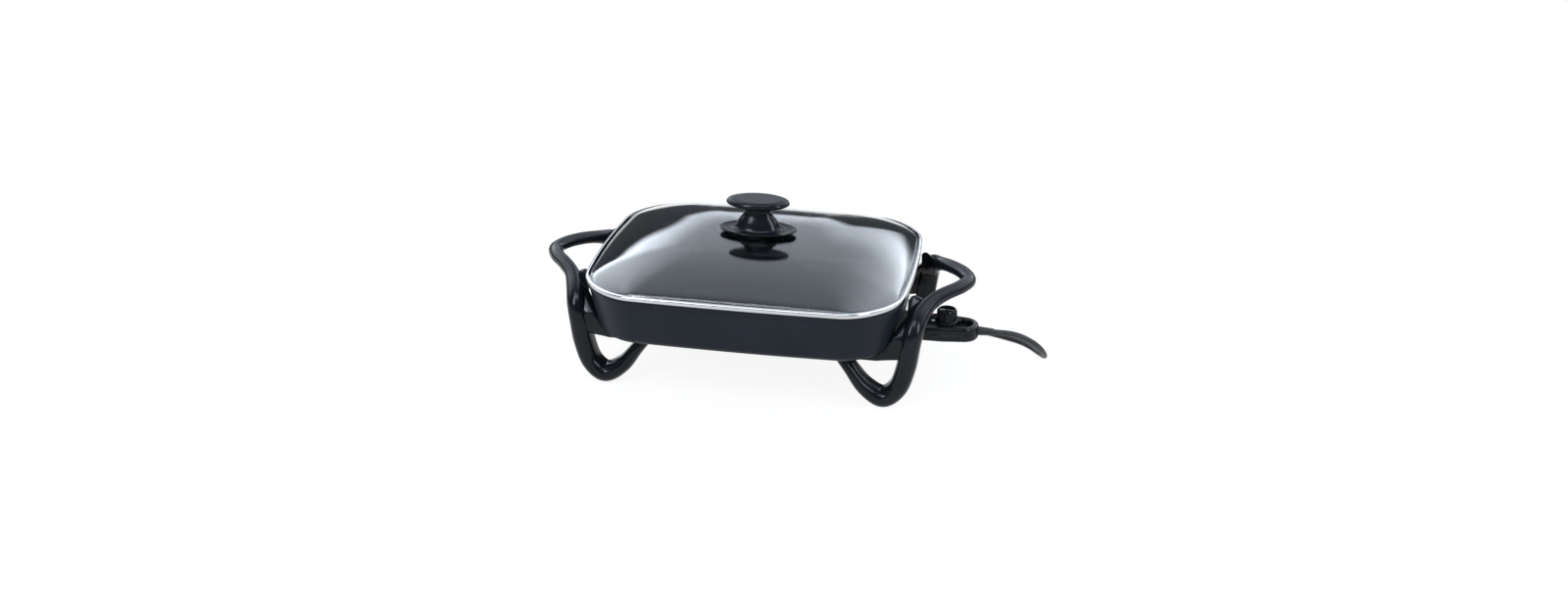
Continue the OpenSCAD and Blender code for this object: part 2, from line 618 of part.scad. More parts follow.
probe_root = body_x + 8;
module sensor_probe() color(steel) union() {
    translate([sensor_tip + 2, 0, ctl_z]) rotate([0, 90, 0])
        cylinder(r = probe_d / 2, h = probe_root - sensor_tip - 2);
    translate([sensor_tip, 0, ctl_z]) rotate([0, 90, 0])
        cylinder(r1 = probe_d / 2 - 1.5, r2 = probe_d / 2, h = 2);
}
module contact_sockets() color(brass) for (y = [-pin_y, pin_y])
    translate([body_x - nose_l + 1, y, ctl_z]) rotate([0, 90, 0]) difference() {
        cylinder(r = socket_r, h = nose_l + 3);
        translate([0, 0, -1]) cylinder(r = pin_d / 2 + fit, h = nose_l - 1);
    }
block_l = 8;
module switch_block() color(ceramic) translate([probe_root, -7, ctl_low + shell_t])
    cube([block_l, 14, ctl_h - 2 * shell_t]);
leaf_t = 0.5;
module switch_leaves() color(brass) for (z = [-2, 2])
    translate([probe_root + block_l, -3, ctl_z + z - leaf_t / 2])
        cube([dial_x - cam_off - cam_r - 2 * gap - probe_root - block_l, 6, leaf_t]);

// ---------- Cord ----------
relief_l = 20;
relief_x = ring_x + ring_d / 2;
module strain_relief() color(black) union() {
    translate([root_x, 0, ctl_z]) rotate([0, 90, 0]) cylinder(r = relief_r, h = relief_x - root_x);
    translate([relief_x, 0, ctl_z]) rotate([0, 90, 0])
        cylinder(r1 = relief_r, r2 = cord_d / 2 + 0.6, h = relief_l);
}
cord_r = cord_d / 2;
cord_x = relief_x + relief_l;
coil_c = [84, 248];
coil_step = 8;
layer = cord_d + 1;
out_r = coil_r + coil_step / 2;
in_r = coil_r - coil_step / 2;
coil_y = coil_c.y - out_r;
lead_in = 8;       // straight end of the tube where the coil starts
// The free stretch: out of the strain relief, down to the table and round behind the pan.
cord_points = [
    [cord_x, 0, ctl_z], [cord_x + lead_in, 0, ctl_z], [322, 0, ctl_z], [334, 1, 63], [346, 4, 57.5],
    [357, 10, 48.5], [365, 20, 37], [369, 33, 25], [370, 48, 14.5], [367, 64, 7.5], [360, 80, 4],
    [349, 95, cord_r], [335, 107, cord_r], [317, 116, cord_r], [297, 124, cord_r], [275, 131, cord_r],
    [252, 139, cord_r], [228, 147, cord_r], [204, 156, cord_r], [182, 166, cord_r], [162, 178, cord_r],
    [144, 190, cord_r], [127, 200, cord_r], [112, coil_y - 1, cord_r],
    [coil_c.x + 2 * lead_in, coil_y, cord_r], [coil_c.x + lead_in, coil_y, cord_r]
];
function tube_rings(path, r, sides) = [for (i = [0:len(path) - 1])
    let (t = heading(path, i), n = unit(cross([0, 0, 1], t)), b = cross(t, n))
    [for (k = [0:sides - 1]) path[i] + r * (cos(360 * k / sides) * n + sin(360 * k / sides) * b)]];
cord_steps = 2;
cord_path = spline(cord_points, cord_steps);
module cord_run() color(black) loft(tube_rings(cord_path, cord_r, 10));

// The coil: one turn in on the table, half a turn that climbs, half a turn out on top, then the tail.
loop_rings = 24;
tie_t = 1;
tie_w = 10;
tie_play = 0.6;
tie_lift = tie_t + tie_play;
function ease(t) = t * t * (3 - 2 * t);
function coil_radius(turn) = turn < 1 ? out_r + (in_r - out_r) * turn
    : turn < 1.5 ? in_r - 1.2 * sin(360 * (turn - 1))
    : in_r + (turn - 1.5) * coil_step;
// Both layers rise a little at the tie, opposite the coil's start.
function coil_rise(turn) = (turn < 1 ? 0 : turn < 1.5 ? ease((turn - 1) * 2) * layer : layer)
    + tie_lift * (1 - cos(360 * turn)) / 2;
function coil_point(turn) = [
    coil_c.x + coil_radius(turn) * cos(-90 - 360 * turn),
    coil_c.y + coil_radius(turn) * sin(-90 - 360 * turn),
    cord_r + coil_rise(turn)
];
turns = 2;
tail_y = coil_c.y - coil_radius(turns);
plug_x = coil_c.x - 58;
plug_h = 17;
plug_z = plug_h / 2;
coil_path = concat(
    [[coil_c.x + lead_in, coil_y, cord_r], [coil_c.x, coil_y, cord_r]],
    [for (k = [1:turns * loop_rings]) coil_point(k / loop_rings)],
    [[coil_c.x - 14, tail_y, plug_z + 2.6], [coil_c.x - 30, tail_y, plug_z + 1],
     [plug_x + lead_in, tail_y, plug_z], [plug_x, tail_y, plug_z]]
);
module cord_coil() color(black) loft(tube_rings(coil_path, cord_r, 6));
coil_gap = min([for (i = [0:len(coil_path) - 1], j = [0:len(coil_path) - 1])
    if (j > i + 6) norm(coil_path[i] - coil_path[j])]) - cord_d;
echo(coil_gap = coil_gap);

tie_r = (coil_radius(0.5) + coil_radius(1.5)) / 2;
tie_in = [2 * (cord_r + tie_play) + coil_radius(0.5) - coil_radius(1.5), 2 * (cord_r + tie_play) + layer];
module coil_tie() color([0.1, 0.1, 0.11]) translate([coil_c.x, coil_c.y + tie_r, cord_r + tie_lift + layer / 2])
    rotate([90, 0, 90]) translate([0, 0, -tie_w / 2]) linear_extrude(tie_w) difference() {
        square([tie_in.x + 2 * tie_t, tie_in.y + 2 * tie_t], center = true);
        square(tie_in, center = true);
    }

plug_l = 34;
blade = [17, 6.3, 1.5];
blade_gap = 12.7;
blade_root = 8;
blade_fit = 0.05;
module plug_body() color(black) difference() {
    hull() {
        translate([plug_x - plug_l, tail_y, plug_z]) rotate([0, 90, 0]) resize([plug_h, plug_w, 2])
            cylinder(d = plug_h, h = 2);
        translate([plug_x - 14, tail_y, plug_z]) rotate([0, 90, 0]) resize([plug_h - 2, plug_w - 4, 2])
            cylinder(d = plug_h, h = 2);
        translate([plug_x - 2, tail_y, plug_z]) rotate([0, 90, 0]) cylinder(d = cord_d + 2, h = 2);
    }
    at_blades(-1, blade_fit) cube([blade_root + 1, blade.z + 2 * blade_fit, blade.y + 2 * blade_fit]);
}
module at_blades(x, grow) for (s = [-1, 1])
    translate([
        plug_x - plug_l + x,
        tail_y + s * blade_gap / 2 - blade.z / 2 - grow,
        plug_z - blade.y / 2 - grow
    ]) children();
module plug_blades() color(brass) at_blades(-blade.x, 0) cube([blade.x + blade_root, blade.z, blade.y]);

pan_body();
heating_element();
terminal_pins();
pin_insulators();
terminal_guard();
guard_screws();
handle_leg_left();
handle_leg_right();
handle_screws();
handle_washers();
lid_glass();
lid_band();
knob_grip();
knob_base();
knob_gasket();
knob_washer();
knob_screw();
control_upper();
control_lower();
control_screws();
dial();
dial_shaft();
pilot_lens();
pilot_lamp();
sensor_probe();
contact_sockets();
switch_block();
switch_leaves();
strain_relief();
cord_run();
cord_coil();
coil_tie();
plug_body();
plug_blades();
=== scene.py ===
# %% [markdown]
# # An electric skillet with a glass lid
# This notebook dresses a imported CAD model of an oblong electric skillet. The CAD model is the
# frame: it fixes every size and place. Each cell adds one piece or one finish on top of it, in the
# same frame and in metres, and says why it is made the way it is.

# %% Start
import math

import bpy
import numpy as np
from mathutils import Matrix, Vector


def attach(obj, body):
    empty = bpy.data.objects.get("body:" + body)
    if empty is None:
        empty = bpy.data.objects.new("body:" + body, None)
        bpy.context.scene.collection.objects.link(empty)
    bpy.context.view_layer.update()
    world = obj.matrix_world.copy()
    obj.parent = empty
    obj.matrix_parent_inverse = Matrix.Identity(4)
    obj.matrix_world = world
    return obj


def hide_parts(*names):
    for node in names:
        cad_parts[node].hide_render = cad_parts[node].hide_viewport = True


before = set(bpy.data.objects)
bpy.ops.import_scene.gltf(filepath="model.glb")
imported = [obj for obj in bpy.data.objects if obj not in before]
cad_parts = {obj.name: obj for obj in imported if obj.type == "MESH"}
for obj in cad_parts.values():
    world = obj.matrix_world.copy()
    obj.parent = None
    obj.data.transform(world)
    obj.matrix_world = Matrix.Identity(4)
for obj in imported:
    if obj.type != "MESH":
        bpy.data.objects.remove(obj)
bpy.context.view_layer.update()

MM = 0.001

# %% [markdown]
# ## Sizes from the frame
# The CAD pieces already stand in the scene, so the main sizes and places are measured on them, in
# millimetres, and what seats on a piece follows it. The soft shapes between these places, such as
# the profile of the knob, are lists of chosen points.

# %% Sizes and places
def box_of(node):
    """The lowest and the highest corner of a CAD piece, in millimetres."""
    points = np.array([vertex.co for vertex in bpy.data.objects[node].data.vertices]) / MM
    return [[round(float(v), 1) for v in corner] for corner in (points.min(axis=0), points.max(axis=0))]


def middle_of(node, axis):
    """The middle of a CAD piece along one axis, in millimetres."""
    low, high = box_of(node)
    return (low[axis] + high[axis]) / 2


rim_half_l, rim_half_w = box_of("lid_band")[1][:2]
rim_z = box_of("pan_body")[1][2]
control_z = middle_of("sensor_probe", 2)
dial_x = middle_of("dial", 0)
pin_r, ring_r = 2.4, 20.0
pin_y = box_of("terminal_pins")[1][1] - pin_r
ring_x = box_of("control_upper")[1][0] - ring_r
underside_z = 75.0  # the pan's flat underside, between its bosses and ridge
print("rim", 2 * rim_half_l, "by", 2 * rim_half_w, "at height", rim_z)
print("control at height", control_z, "with its dial at", dial_x, "and its ring at", ring_x)

# %% [markdown]
# ## Camera
# The camera comes first, because the cord may not spread far outside its view. Its place was
# solved from the rim's outline and the four feet in the photograph: 2.2 m away, a little to the
# right of the front and about 23 degrees above the table.

# %% Camera
view_turn, view_rise, view_range = math.radians(11.4), math.radians(23.0), 2.2
aim = Vector((0.0, 0.0, rim_z * MM))
towards_camera = Vector((
    math.sin(view_turn) * math.cos(view_rise),
    -math.cos(view_turn) * math.cos(view_rise),
    math.sin(view_rise),
))
lens = bpy.data.cameras.new("photo_camera")
lens.lens, lens.sensor_width = 39.33, 36.0
lens.shift_x, lens.shift_y = 0.01656, -0.02594
camera = bpy.data.objects.new("photo_camera", lens)
camera.location = aim + view_range * towards_camera
camera.rotation_euler = towards_camera.to_track_quat("Z", "Y").to_euler()
bpy.context.scene.collection.objects.link(camera)
bpy.context.scene.camera = camera
print("camera stands", round(view_range, 2), "m from the pan's lip")

# %% [markdown]
# ## Smooth lines and skins
# Most pieces of a cast pan are skins: a closed outline repeated at different heights. Two helpers
# do most of the work. One draws a smooth line through a few chosen points, and the other joins a
# stack of rings into a closed mesh. Plain Python is used because each ring has its own shape.

# %% Helpers for lines and skins
def smooth_line(points, steps):
    """Points on a curve that passes through the given ones, steps to each stretch."""
    p = np.array(points, float)
    p = np.vstack([p[:1], p, p[-1:]])
    out = []
    for i in range(1, len(p) - 2):
        a, b, c, d = p[i - 1:i + 3]
        for k in range(steps):
            t = k / steps
            out.append(0.5 * (2 * b + (c - a) * t + (2 * a - 5 * b + 4 * c - d) * t * t
                              + (3 * b - a - 3 * c + d) * t ** 3))
    return np.array(out + [p[-2]])


def round_steps(sides):
    """The cosine and sine of each step round a circle."""
    return [(math.cos(math.tau * k / sides), math.sin(math.tau * k / sides)) for k in range(sides)]


def squared_off(wave, power):
    """A cosine or sine with flatter ends the lower the power, which turns an oval towards a box."""
    return math.copysign(abs(wave) ** power, wave)


def skin(rings, ring_of_rings=False):
    """Points and faces of a closed skin over rings that turn anticlockwise as they climb."""
    n, m = len(rings[0]), len(rings)
    points = [tuple(p) for ring in rings for p in ring]
    faces = []
    for j in range(m if ring_of_rings else m - 1):
        up = (j + 1) % m
        faces += [(j * n + i, j * n + (i + 1) % n, up * n + (i + 1) % n, up * n + i) for i in range(n)]
    if not ring_of_rings:
        faces += [tuple(range(n - 1, -1, -1)), tuple((m - 1) * n + i for i in range(n))]
    return points, faces


plain_crease = 38  # an edge that turns more than this many degrees stays sharp


def piece(name, shape, material, crease=plain_crease):
    """An object at the origin whose points are given in millimetres."""
    points, faces = shape
    mesh = bpy.data.meshes.new(name)
    mesh.from_pydata([(x * MM, y * MM, z * MM) for x, y, z in points], [], faces)
    mesh.polygons.foreach_set("use_smooth", [True] * len(mesh.polygons))
    mesh.set_sharp_from_angle(angle=math.radians(crease))
    mesh.materials.append(material)
    obj = bpy.data.objects.new(name, mesh)
    bpy.context.scene.collection.objects.link(obj)
    return obj


def together(*shapes):
    """Several skins as one."""
    points, faces = [], []
    for p, f in shapes:
        faces += [tuple(i + len(points) for i in face) for face in f]
        points += list(p)
    return points, faces


def mirrored(shape, x=1, y=1):
    """A shape seen in a mirror, with its faces turned back outwards."""
    points, faces = shape
    points = [(p[0] * x, p[1] * y, p[2]) for p in points]
    return points, [tuple(reversed(f)) for f in faces] if x * y < 0 else faces


print("helpers ready")

# %% [markdown]
# ## Finishes
# A finished material needs more than a colour. Each one here starts from the same three layers,
# read from Object coordinates so that they stay put in every view: a slow drift of colour, a drift
# of gloss such as handling leaves, and a fine relief such as a mould or a coating has. The amounts
# differ from finish to finish.

# %% Helper for finishes
def finish(name, dark, light, gloss, relief=(0, 0.0), drift=25.0, stretch=(1, 1, 1), **constants):
    """dark and light are the two ends of the colour's drift, gloss the two ends of roughness, and
    relief is (bumps per metre, height in millimetres)."""
    material = bpy.data.materials.new(name)
    material.use_nodes = True
    nodes, links = material.node_tree.nodes, material.node_tree.links
    shader = nodes["Principled BSDF"]
    for label, value in constants.items():
        shader.inputs[label.replace("_", " ")].default_value = value
    place = nodes.new("ShaderNodeTexCoord")
    mapping = nodes.new("ShaderNodeMapping")
    mapping.inputs["Scale"].default_value = stretch
    links.new(place.outputs["Object"], mapping.inputs["Vector"])
    slow = nodes.new("ShaderNodeTexNoise")
    slow.inputs["Scale"].default_value = drift
    slow.inputs["Detail"].default_value = 6
    links.new(mapping.outputs["Vector"], slow.inputs["Vector"])
    ramp = nodes.new("ShaderNodeValToRGB")
    ramp.color_ramp.elements[0].position, ramp.color_ramp.elements[0].color = 0.3, (*dark, 1)
    ramp.color_ramp.elements[1].position, ramp.color_ramp.elements[1].color = 0.7, (*light, 1)
    links.new(slow.outputs["Fac"], ramp.inputs["Fac"])
    links.new(ramp.outputs["Color"], shader.inputs["Base Color"])
    shine = nodes.new("ShaderNodeMapRange")
    shine.inputs["From Min"].default_value, shine.inputs["From Max"].default_value = 0.3, 0.7
    shine.inputs["To Min"].default_value, shine.inputs["To Max"].default_value = gloss
    links.new(slow.outputs["Fac"], shine.inputs["Value"])
    links.new(shine.outputs["Result"], shader.inputs["Roughness"])
    if relief[1]:
        fine = nodes.new("ShaderNodeTexNoise")
        fine.inputs["Scale"].default_value = relief[0]
        fine.inputs["Detail"].default_value = 3
        links.new(mapping.outputs["Vector"], fine.inputs["Vector"])
        bump = nodes.new("ShaderNodeBump")
        bump.inputs["Strength"].default_value = 0.6
        bump.inputs["Distance"].default_value = relief[1] * MM
        links.new(fine.outputs["Fac"], bump.inputs["Height"])
        links.new(bump.outputs["Normal"], shader.inputs["Normal"])
    return material


print("finish helper ready")

# %% [markdown]
# ## The cord
# A short skillet lead, about a yard long and 7 mm thick, in satin black rubber. It leaves the heat
# control through a strain relief, sinks to the table and runs round behind the pan, where the rest
# lies coiled with its plug. The CAD model holds the same route, so the points are repeated here. A
# tube of 20 sides on finer points is made in place of the CAD's coarse one.

# %% Route of the cord
cord_r = 3.5
coil_x, coil_mid_y = 84.0, 248.0
coil_r, coil_step, layer, tie_lift = 38.0, 8.0, 8.0, 1.6
coil_out, coil_in = coil_r + coil_step / 2, coil_r - coil_step / 2
coil_y = coil_mid_y - coil_out
free_points = [
    (306, 0, control_z), (314, 0, control_z), (322, 0, control_z), (334, 1, 63), (346, 4, 57.5),
    (357, 10, 48.5), (365, 20, 37), (369, 33, 25), (370, 48, 14.5), (367, 64, 7.5), (360, 80, 4),
    (349, 95, cord_r), (335, 107, cord_r), (317, 116, cord_r), (297, 124, cord_r), (275, 131, cord_r),
    (252, 139, cord_r), (228, 147, cord_r), (204, 156, cord_r), (182, 166, cord_r), (162, 178, cord_r),
    (144, 190, cord_r), (127, 200, cord_r), (112, coil_y - 1, cord_r), (coil_x + 16, coil_y, cord_r),
    (coil_x + 8, coil_y, cord_r),
]


def coil_point(turn):
    """A place on the coil: one turn in, half a turn that climbs, half a turn out on top."""
    if turn < 1:
        radius, rise = coil_out + (coil_in - coil_out) * turn, 0.0
    elif turn < 1.5:
        t = (turn - 1) * 2
        radius, rise = coil_in - 1.2 * math.sin(math.tau * (turn - 1)), t * t * (3 - 2 * t) * layer
    else:
        radius, rise = coil_in + (turn - 1.5) * coil_step, layer
    rise += tie_lift * (1 - math.cos(math.tau * turn)) / 2
    angle = -math.pi / 2 - math.tau * turn
    return coil_x + radius * math.cos(angle), coil_mid_y + radius * math.sin(angle), cord_r + rise


tail_y, plug_x, plug_z = coil_mid_y - coil_r, coil_x - 58.0, 8.5
tail_points = [
    coil_point(2), (coil_x - 14, tail_y, plug_z + 2.6), (coil_x - 30, tail_y, plug_z + 1),
    (plug_x + 8, tail_y, plug_z), (plug_x, tail_y, plug_z),
]
coil_steps = 48
route = np.vstack([
    smooth_line(free_points, 6),
    [(coil_x, coil_y, cord_r)],
    [coil_point(k / coil_steps) for k in range(1, 2 * coil_steps)],
    smooth_line(tail_points, 4),
])

# %% Cord
def tube(path, radius, sides):
    """A round tube along a path. radius is one number, or one for each point."""
    path = np.array(path, float)
    heading = np.gradient(path, axis=0)
    heading /= np.linalg.norm(heading, axis=1)[:, None]
    radius = np.broadcast_to(radius, len(path))
    angle = np.arange(sides) * math.tau / sides
    rings = []
    for p, t, r in zip(path, heading, radius):
        across = np.cross((0, 0, 1), t)
        across /= np.linalg.norm(across)
        up = np.cross(t, across)
        rings.append([p + r * (math.cos(a) * across + math.sin(a) * up) for a in angle])
    return skin(rings)


cord_rubber = finish("cord_rubber", (0.012, 0.012, 0.014), (0.02, 0.02, 0.022), (0.38, 0.5),
                     relief=(1800, 0.08), Specular_IOR_Level=0.3)
cord = piece("power_cord", tube(route, cord_r, 20), cord_rubber)
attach(cord, "heat_control")
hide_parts("cord_run", "cord_coil")
print("cord made, faces:", len(cord.data.polygons))

# %% [markdown]
# ## Plug
# A moulded two-blade plug with a waist to grip. Its body is one skin over rings that go from a
# broad face to the cord, and the grip ribs are the first thing that repeats, so they are grown
# with Geometry Nodes: a line of points, a rib on each, turned into plain mesh at the end.

# %% Helper that grows a piece with Geometry Nodes
def new_tree(name, **inputs):
    """A Geometry Nodes tree with named number inputs. Returns it with its group input."""
    tree = bpy.data.node_groups.new(name, "GeometryNodeTree")
    tree.interface.new_socket("Geometry", in_out="INPUT", socket_type="NodeSocketGeometry")
    for label, value in inputs.items():
        kind = "NodeSocketInt" if isinstance(value, int) else "NodeSocketFloat"
        socket = tree.interface.new_socket(label.replace("_", " "), in_out="INPUT", socket_type=kind)
        socket.default_value = value
    tree.interface.new_socket("Geometry", in_out="OUTPUT", socket_type="NodeSocketGeometry")
    return tree, tree.nodes.new("NodeGroupInput")


def end_tree(tree, last, material):
    """Realize the instances, give them their material and close the tree."""
    real = tree.nodes.new("GeometryNodeRealizeInstances")
    paint = tree.nodes.new("GeometryNodeSetMaterial")
    paint.inputs["Material"].default_value = material
    out = tree.nodes.new("NodeGroupOutput")
    tree.links.new(last, real.inputs[0])
    tree.links.new(real.outputs[0], paint.inputs["Geometry"])
    tree.links.new(paint.outputs["Geometry"], out.inputs[0])


def grown(name, tree, place, **values):
    """Run a tree on an empty mesh and keep what it makes as a plain mesh at a place in millimetres."""
    holder = bpy.data.objects.new(name + "_start", bpy.data.meshes.new(name + "_start"))
    bpy.context.scene.collection.objects.link(holder)
    grow = holder.modifiers.new("grow", "NODES")
    grow.node_group = tree
    for item in tree.interface.items_tree:
        label = item.name.replace(" ", "_")
        if item.in_out == "INPUT" and label in values:
            grow[item.identifier] = values[label]
    graph = bpy.context.evaluated_depsgraph_get()
    mesh = bpy.data.meshes.new_from_object(holder.evaluated_get(graph))
    bpy.data.objects.remove(holder)
    mesh.transform(Matrix.Translation(Vector(place) * MM))
    mesh.polygons.foreach_set("use_smooth", [True] * len(mesh.polygons))
    mesh.set_sharp_from_angle(angle=math.radians(plain_crease))
    mesh.name = name
    obj = bpy.data.objects.new(name, mesh)
    bpy.context.scene.collection.objects.link(obj)
    print(name, "grown:", len(mesh.polygons), "faces")
    return obj


print("growing helper ready")

# %% Tree of rings in a row
def rib_tree(name, material):
    """Rings in a row along X, each a little smaller than the last, as on a grip or a cord guard."""
    tree, given = new_tree(name, Count=5, Pitch=0.003, Radius=0.005, Taper=0.9, Thickness=0.0008,
                           Flatten=1.0)
    nodes, links = tree.nodes, tree.links
    row = nodes.new("GeometryNodeMeshLine")
    links.new(given.outputs["Count"], row.inputs["Count"])
    step = nodes.new("ShaderNodeCombineXYZ")
    links.new(given.outputs["Pitch"], step.inputs["X"])
    links.new(step.outputs[0], row.inputs["Offset"])
    hoop = nodes.new("GeometryNodeCurvePrimitiveCircle")
    hoop.inputs["Resolution"].default_value = 40
    links.new(given.outputs["Radius"], hoop.inputs["Radius"])
    bead = nodes.new("GeometryNodeCurvePrimitiveCircle")
    bead.inputs["Resolution"].default_value = 10
    links.new(given.outputs["Thickness"], bead.inputs["Radius"])
    ring = nodes.new("GeometryNodeCurveToMesh")
    links.new(hoop.outputs["Curve"], ring.inputs["Curve"])
    links.new(bead.outputs["Curve"], ring.inputs["Profile Curve"])
    upright = nodes.new("GeometryNodeTransform")
    upright.inputs["Rotation"].default_value = (0, math.pi / 2, 0)
    links.new(ring.outputs["Mesh"], upright.inputs["Geometry"])
    index = nodes.new("GeometryNodeInputIndex")
    shrink = nodes.new("ShaderNodeMath")
    shrink.operation = "POWER"
    links.new(given.outputs["Taper"], shrink.inputs[0])
    links.new(index.outputs[0], shrink.inputs[1])
    flat = nodes.new("ShaderNodeMath")
    flat.operation = "MULTIPLY"
    links.new(shrink.outputs[0], flat.inputs[0])
    links.new(given.outputs["Flatten"], flat.inputs[1])
    size = nodes.new("ShaderNodeCombineXYZ")
    size.inputs["X"].default_value = 1.0
    links.new(shrink.outputs[0], size.inputs["Y"])
    links.new(flat.outputs[0], size.inputs["Z"])
    place = nodes.new("GeometryNodeInstanceOnPoints")
    links.new(row.outputs["Mesh"], place.inputs["Points"])
    links.new(upright.outputs["Geometry"], place.inputs["Instance"])
    links.new(size.outputs[0], place.inputs["Scale"])
    end_tree(tree, place.outputs["Instances"], material)
    return tree


print("ring tree ready")

# %% Plug body and ribs
plug_black = finish("plug_black", (0.014, 0.014, 0.016), (0.024, 0.024, 0.026), (0.42, 0.55),
                    relief=(900, 0.12))


def plug_ring(x, wide, high, power, sides=40):
    """A ring across the plug, from an oval at power 1 towards a box below it."""
    return [(plug_x + x, tail_y + wide / 2 * squared_off(c, power), plug_z + high / 2 * squared_off(s, power))
            for c, s in round_steps(sides)]


plug_stations = [  # distance from the cord's end, width, height, power
    (-34, 23, 14, 0.55), (-33.4, 25, 16, 0.55), (-32, 25.8, 16.8, 0.55), (-28, 25.6, 16.6, 0.6),
    (-22, 23.5, 15.4, 0.7), (-16, 22, 15, 0.8), (-11, 20.5, 14, 0.9), (-6, 14.5, 11.4, 1.0),
    (-2, 9.4, 9.2, 1.0), (0, 8.6, 8.6, 1.0)]
plug = piece("plug_moulding", skin([plug_ring(*station) for station in plug_stations]), plug_black)
plug_ribs = grown("plug_grip_ribs", rib_tree("grip_ribs", plug_black),
                  place=(plug_x - 21.5, tail_y, plug_z), Count=4, Pitch=0.0032, Radius=0.0116,
                  Taper=0.965, Thickness=0.0007, Flatten=0.655)
for part in (plug, plug_ribs):
    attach(part, "heat_control")
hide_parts("plug_body")

# %% [markdown]
# ## Coil tie
# A flat strap of black plastic round the two strands opposite the coil's start. Its corners are
# rounded, so it is swept as a ribbon round a rounded frame. It keeps the CAD solid's outside.

# %% Coil tie
tie_plastic = finish("tie_plastic", (0.02, 0.02, 0.02), (0.035, 0.035, 0.035), (0.45, 0.6),
                     relief=(1500, 0.05))
tie_y, tie_z = coil_mid_y + (coil_r + coil_in) / 2, cord_r + tie_lift + layer / 2
tie_half_w, tie_half_h, tie_corner = 7.1, 9.1, 0.42


def tie_ring(x, inset, sides=48):
    """A rounded frame across X, drawn in by inset."""
    return [(x, tie_y + (tie_half_w - inset) * squared_off(c, tie_corner),
             tie_z + (tie_half_h - inset) * squared_off(s, tie_corner)) for c, s in round_steps(sides)]


tie_section = [(-4.7, 0.0), (4.7, 0.0), (5, 0.3), (5, 0.7), (4.7, 1.0), (-4.7, 1.0), (-5, 0.7), (-5, 0.3)]
tie = piece("tie_strap", skin([tie_ring(coil_x + x, inset) for x, inset in tie_section], ring_of_rings=True),
            tie_plastic)
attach(tie, "heat_control")
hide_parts("coil_tie")
print("tie made")

# %% [markdown]
# ## Strain relief
# The sleeve that keeps the cord from kinking where it leaves the heat control: a tapered rubber
# tube with a collar. The same rib tree puts rings on it, each smaller than the last.

# %% Strain relief
relief_profile = [(279.5, 5.6), (285.9, 5.6), (286.1, 5.7), (288, 5.68), (294.5, 5.2), (301, 4.65),
                  (304.8, 4.35), (306, 4.05)]
relief_line = [(x, 0, control_z) for x, r in relief_profile]
relief = piece("cord_guard", tube(relief_line, [r for x, r in relief_profile], 32), cord_rubber)
relief_ribs = grown("cord_guard_ribs", rib_tree("guard_ribs", cord_rubber), place=(289, 0, control_z),
                    Count=6, Pitch=0.0028, Radius=0.00525, Taper=0.963, Thickness=0.00045, Flatten=1.0)
for part in (relief, relief_ribs):
    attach(part, "heat_control")
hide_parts("strain_relief")
print("strain relief made")

# %% [markdown]
# ## The pan
# A die-cast pan, oblong with wide corners and sides that bow out a little, coated charcoal. The
# outline has a rule, so a function draws it at any inset. The CAD has 56 points round the rim, and
# here there are more, so that the gloss runs round the corners without a break.

# %% Outline of the rim
corner_r, end_bow, side_bow = 66.0, 12.0, 5.0
end_x, side_y = rim_half_l - end_bow, rim_half_w - side_bow


def rim_outline(inset, corner_steps=22, side_steps=18):
    """The rim's outline, drawn in by inset, anticlockwise from above."""
    ax, by, r = end_x - inset, side_y - inset, corner_r - inset
    centres = [(sx * (ax - r), sy * (by - r)) for sx, sy in ((1, 1), (-1, 1), (-1, -1), (1, -1))]
    points = []
    for q in range(4):
        for k in range(corner_steps + 1):
            a = math.radians(90 * (q + k / corner_steps))
            points.append((centres[q][0] + r * math.cos(a), centres[q][1] + r * math.sin(a)))
        a = math.radians(90 * (q + 1))
        for k in range(1, side_steps):
            t = k / side_steps
            near, far = centres[q], centres[(q + 1) % 4]
            points.append((near[0] * (1 - t) + far[0] * t + r * math.cos(a),
                           near[1] * (1 - t) + far[1] * t + r * math.sin(a)))
    bowed = []
    for x, y in points:
        out_x = math.copysign(1, x) * end_bow * (1 - (y / by) ** 2) * (abs(x) / ax) ** 8
        out_y = math.copysign(1, y) * side_bow * (1 - (x / ax) ** 2) * (abs(y) / by) ** 8
        bowed.append((x + out_x, y + out_y))
    return bowed


def at_height(points, z):
    """A plan outline as a ring of points at one height."""
    return [(x, y, z) for x, y in points]


wall_gap, wall_lean, bottom_r = 2.0, 13.0, 12.0


def wall_inset(z):
    """How far the wall's outside stands in from the rim's outline at a height."""
    return wall_gap + wall_lean * (rim_z - z) / (rim_z - underside_z)


def arc(cx, cz, r, first, last, steps):
    """Points of an arc in (inset, height), from first to last in degrees."""
    return [(cx - r * math.cos(math.radians(first + (last - first) * k / steps)),
             cz + r * math.sin(math.radians(first + (last - first) * k / steps))) for k in range(steps + 1)]


bend_z = underside_z + bottom_r
lip = [(1.3, -5), (1.0, -4.1), (1.0, -0.9), (1.3, -0.2), (1.9, 0), (5.2, 0), (6.0, -0.3), (6.5, -1.2)]
pan_profile = (
    arc(wall_inset(bend_z) + bottom_r, bend_z, bottom_r, -90, -10, 12)
    + [(wall_inset(z), z) for z in (100, 118, 135)]
    + [(inset, rim_z + drop) for inset, drop in lip]
    + arc(wall_inset(91) + 14, 91, 10, -10, -90, 10)
)
print("rim outline:", len(rim_outline(0)), "points; pan profile:", len(pan_profile), "rings")

# %% Pan coating and shell
pan_coating = finish("pan_coating", (0.005, 0.007, 0.011), (0.008, 0.01, 0.015), (0.32, 0.42),
                     relief=(1400, 0.05), drift=14.0, Specular_IOR_Level=0.12)
pan = piece("pan_shell", skin([at_height(rim_outline(i), z) for i, z in pan_profile]), pan_coating)
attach(pan, "base")
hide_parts("pan_body")
print("pan shell made")

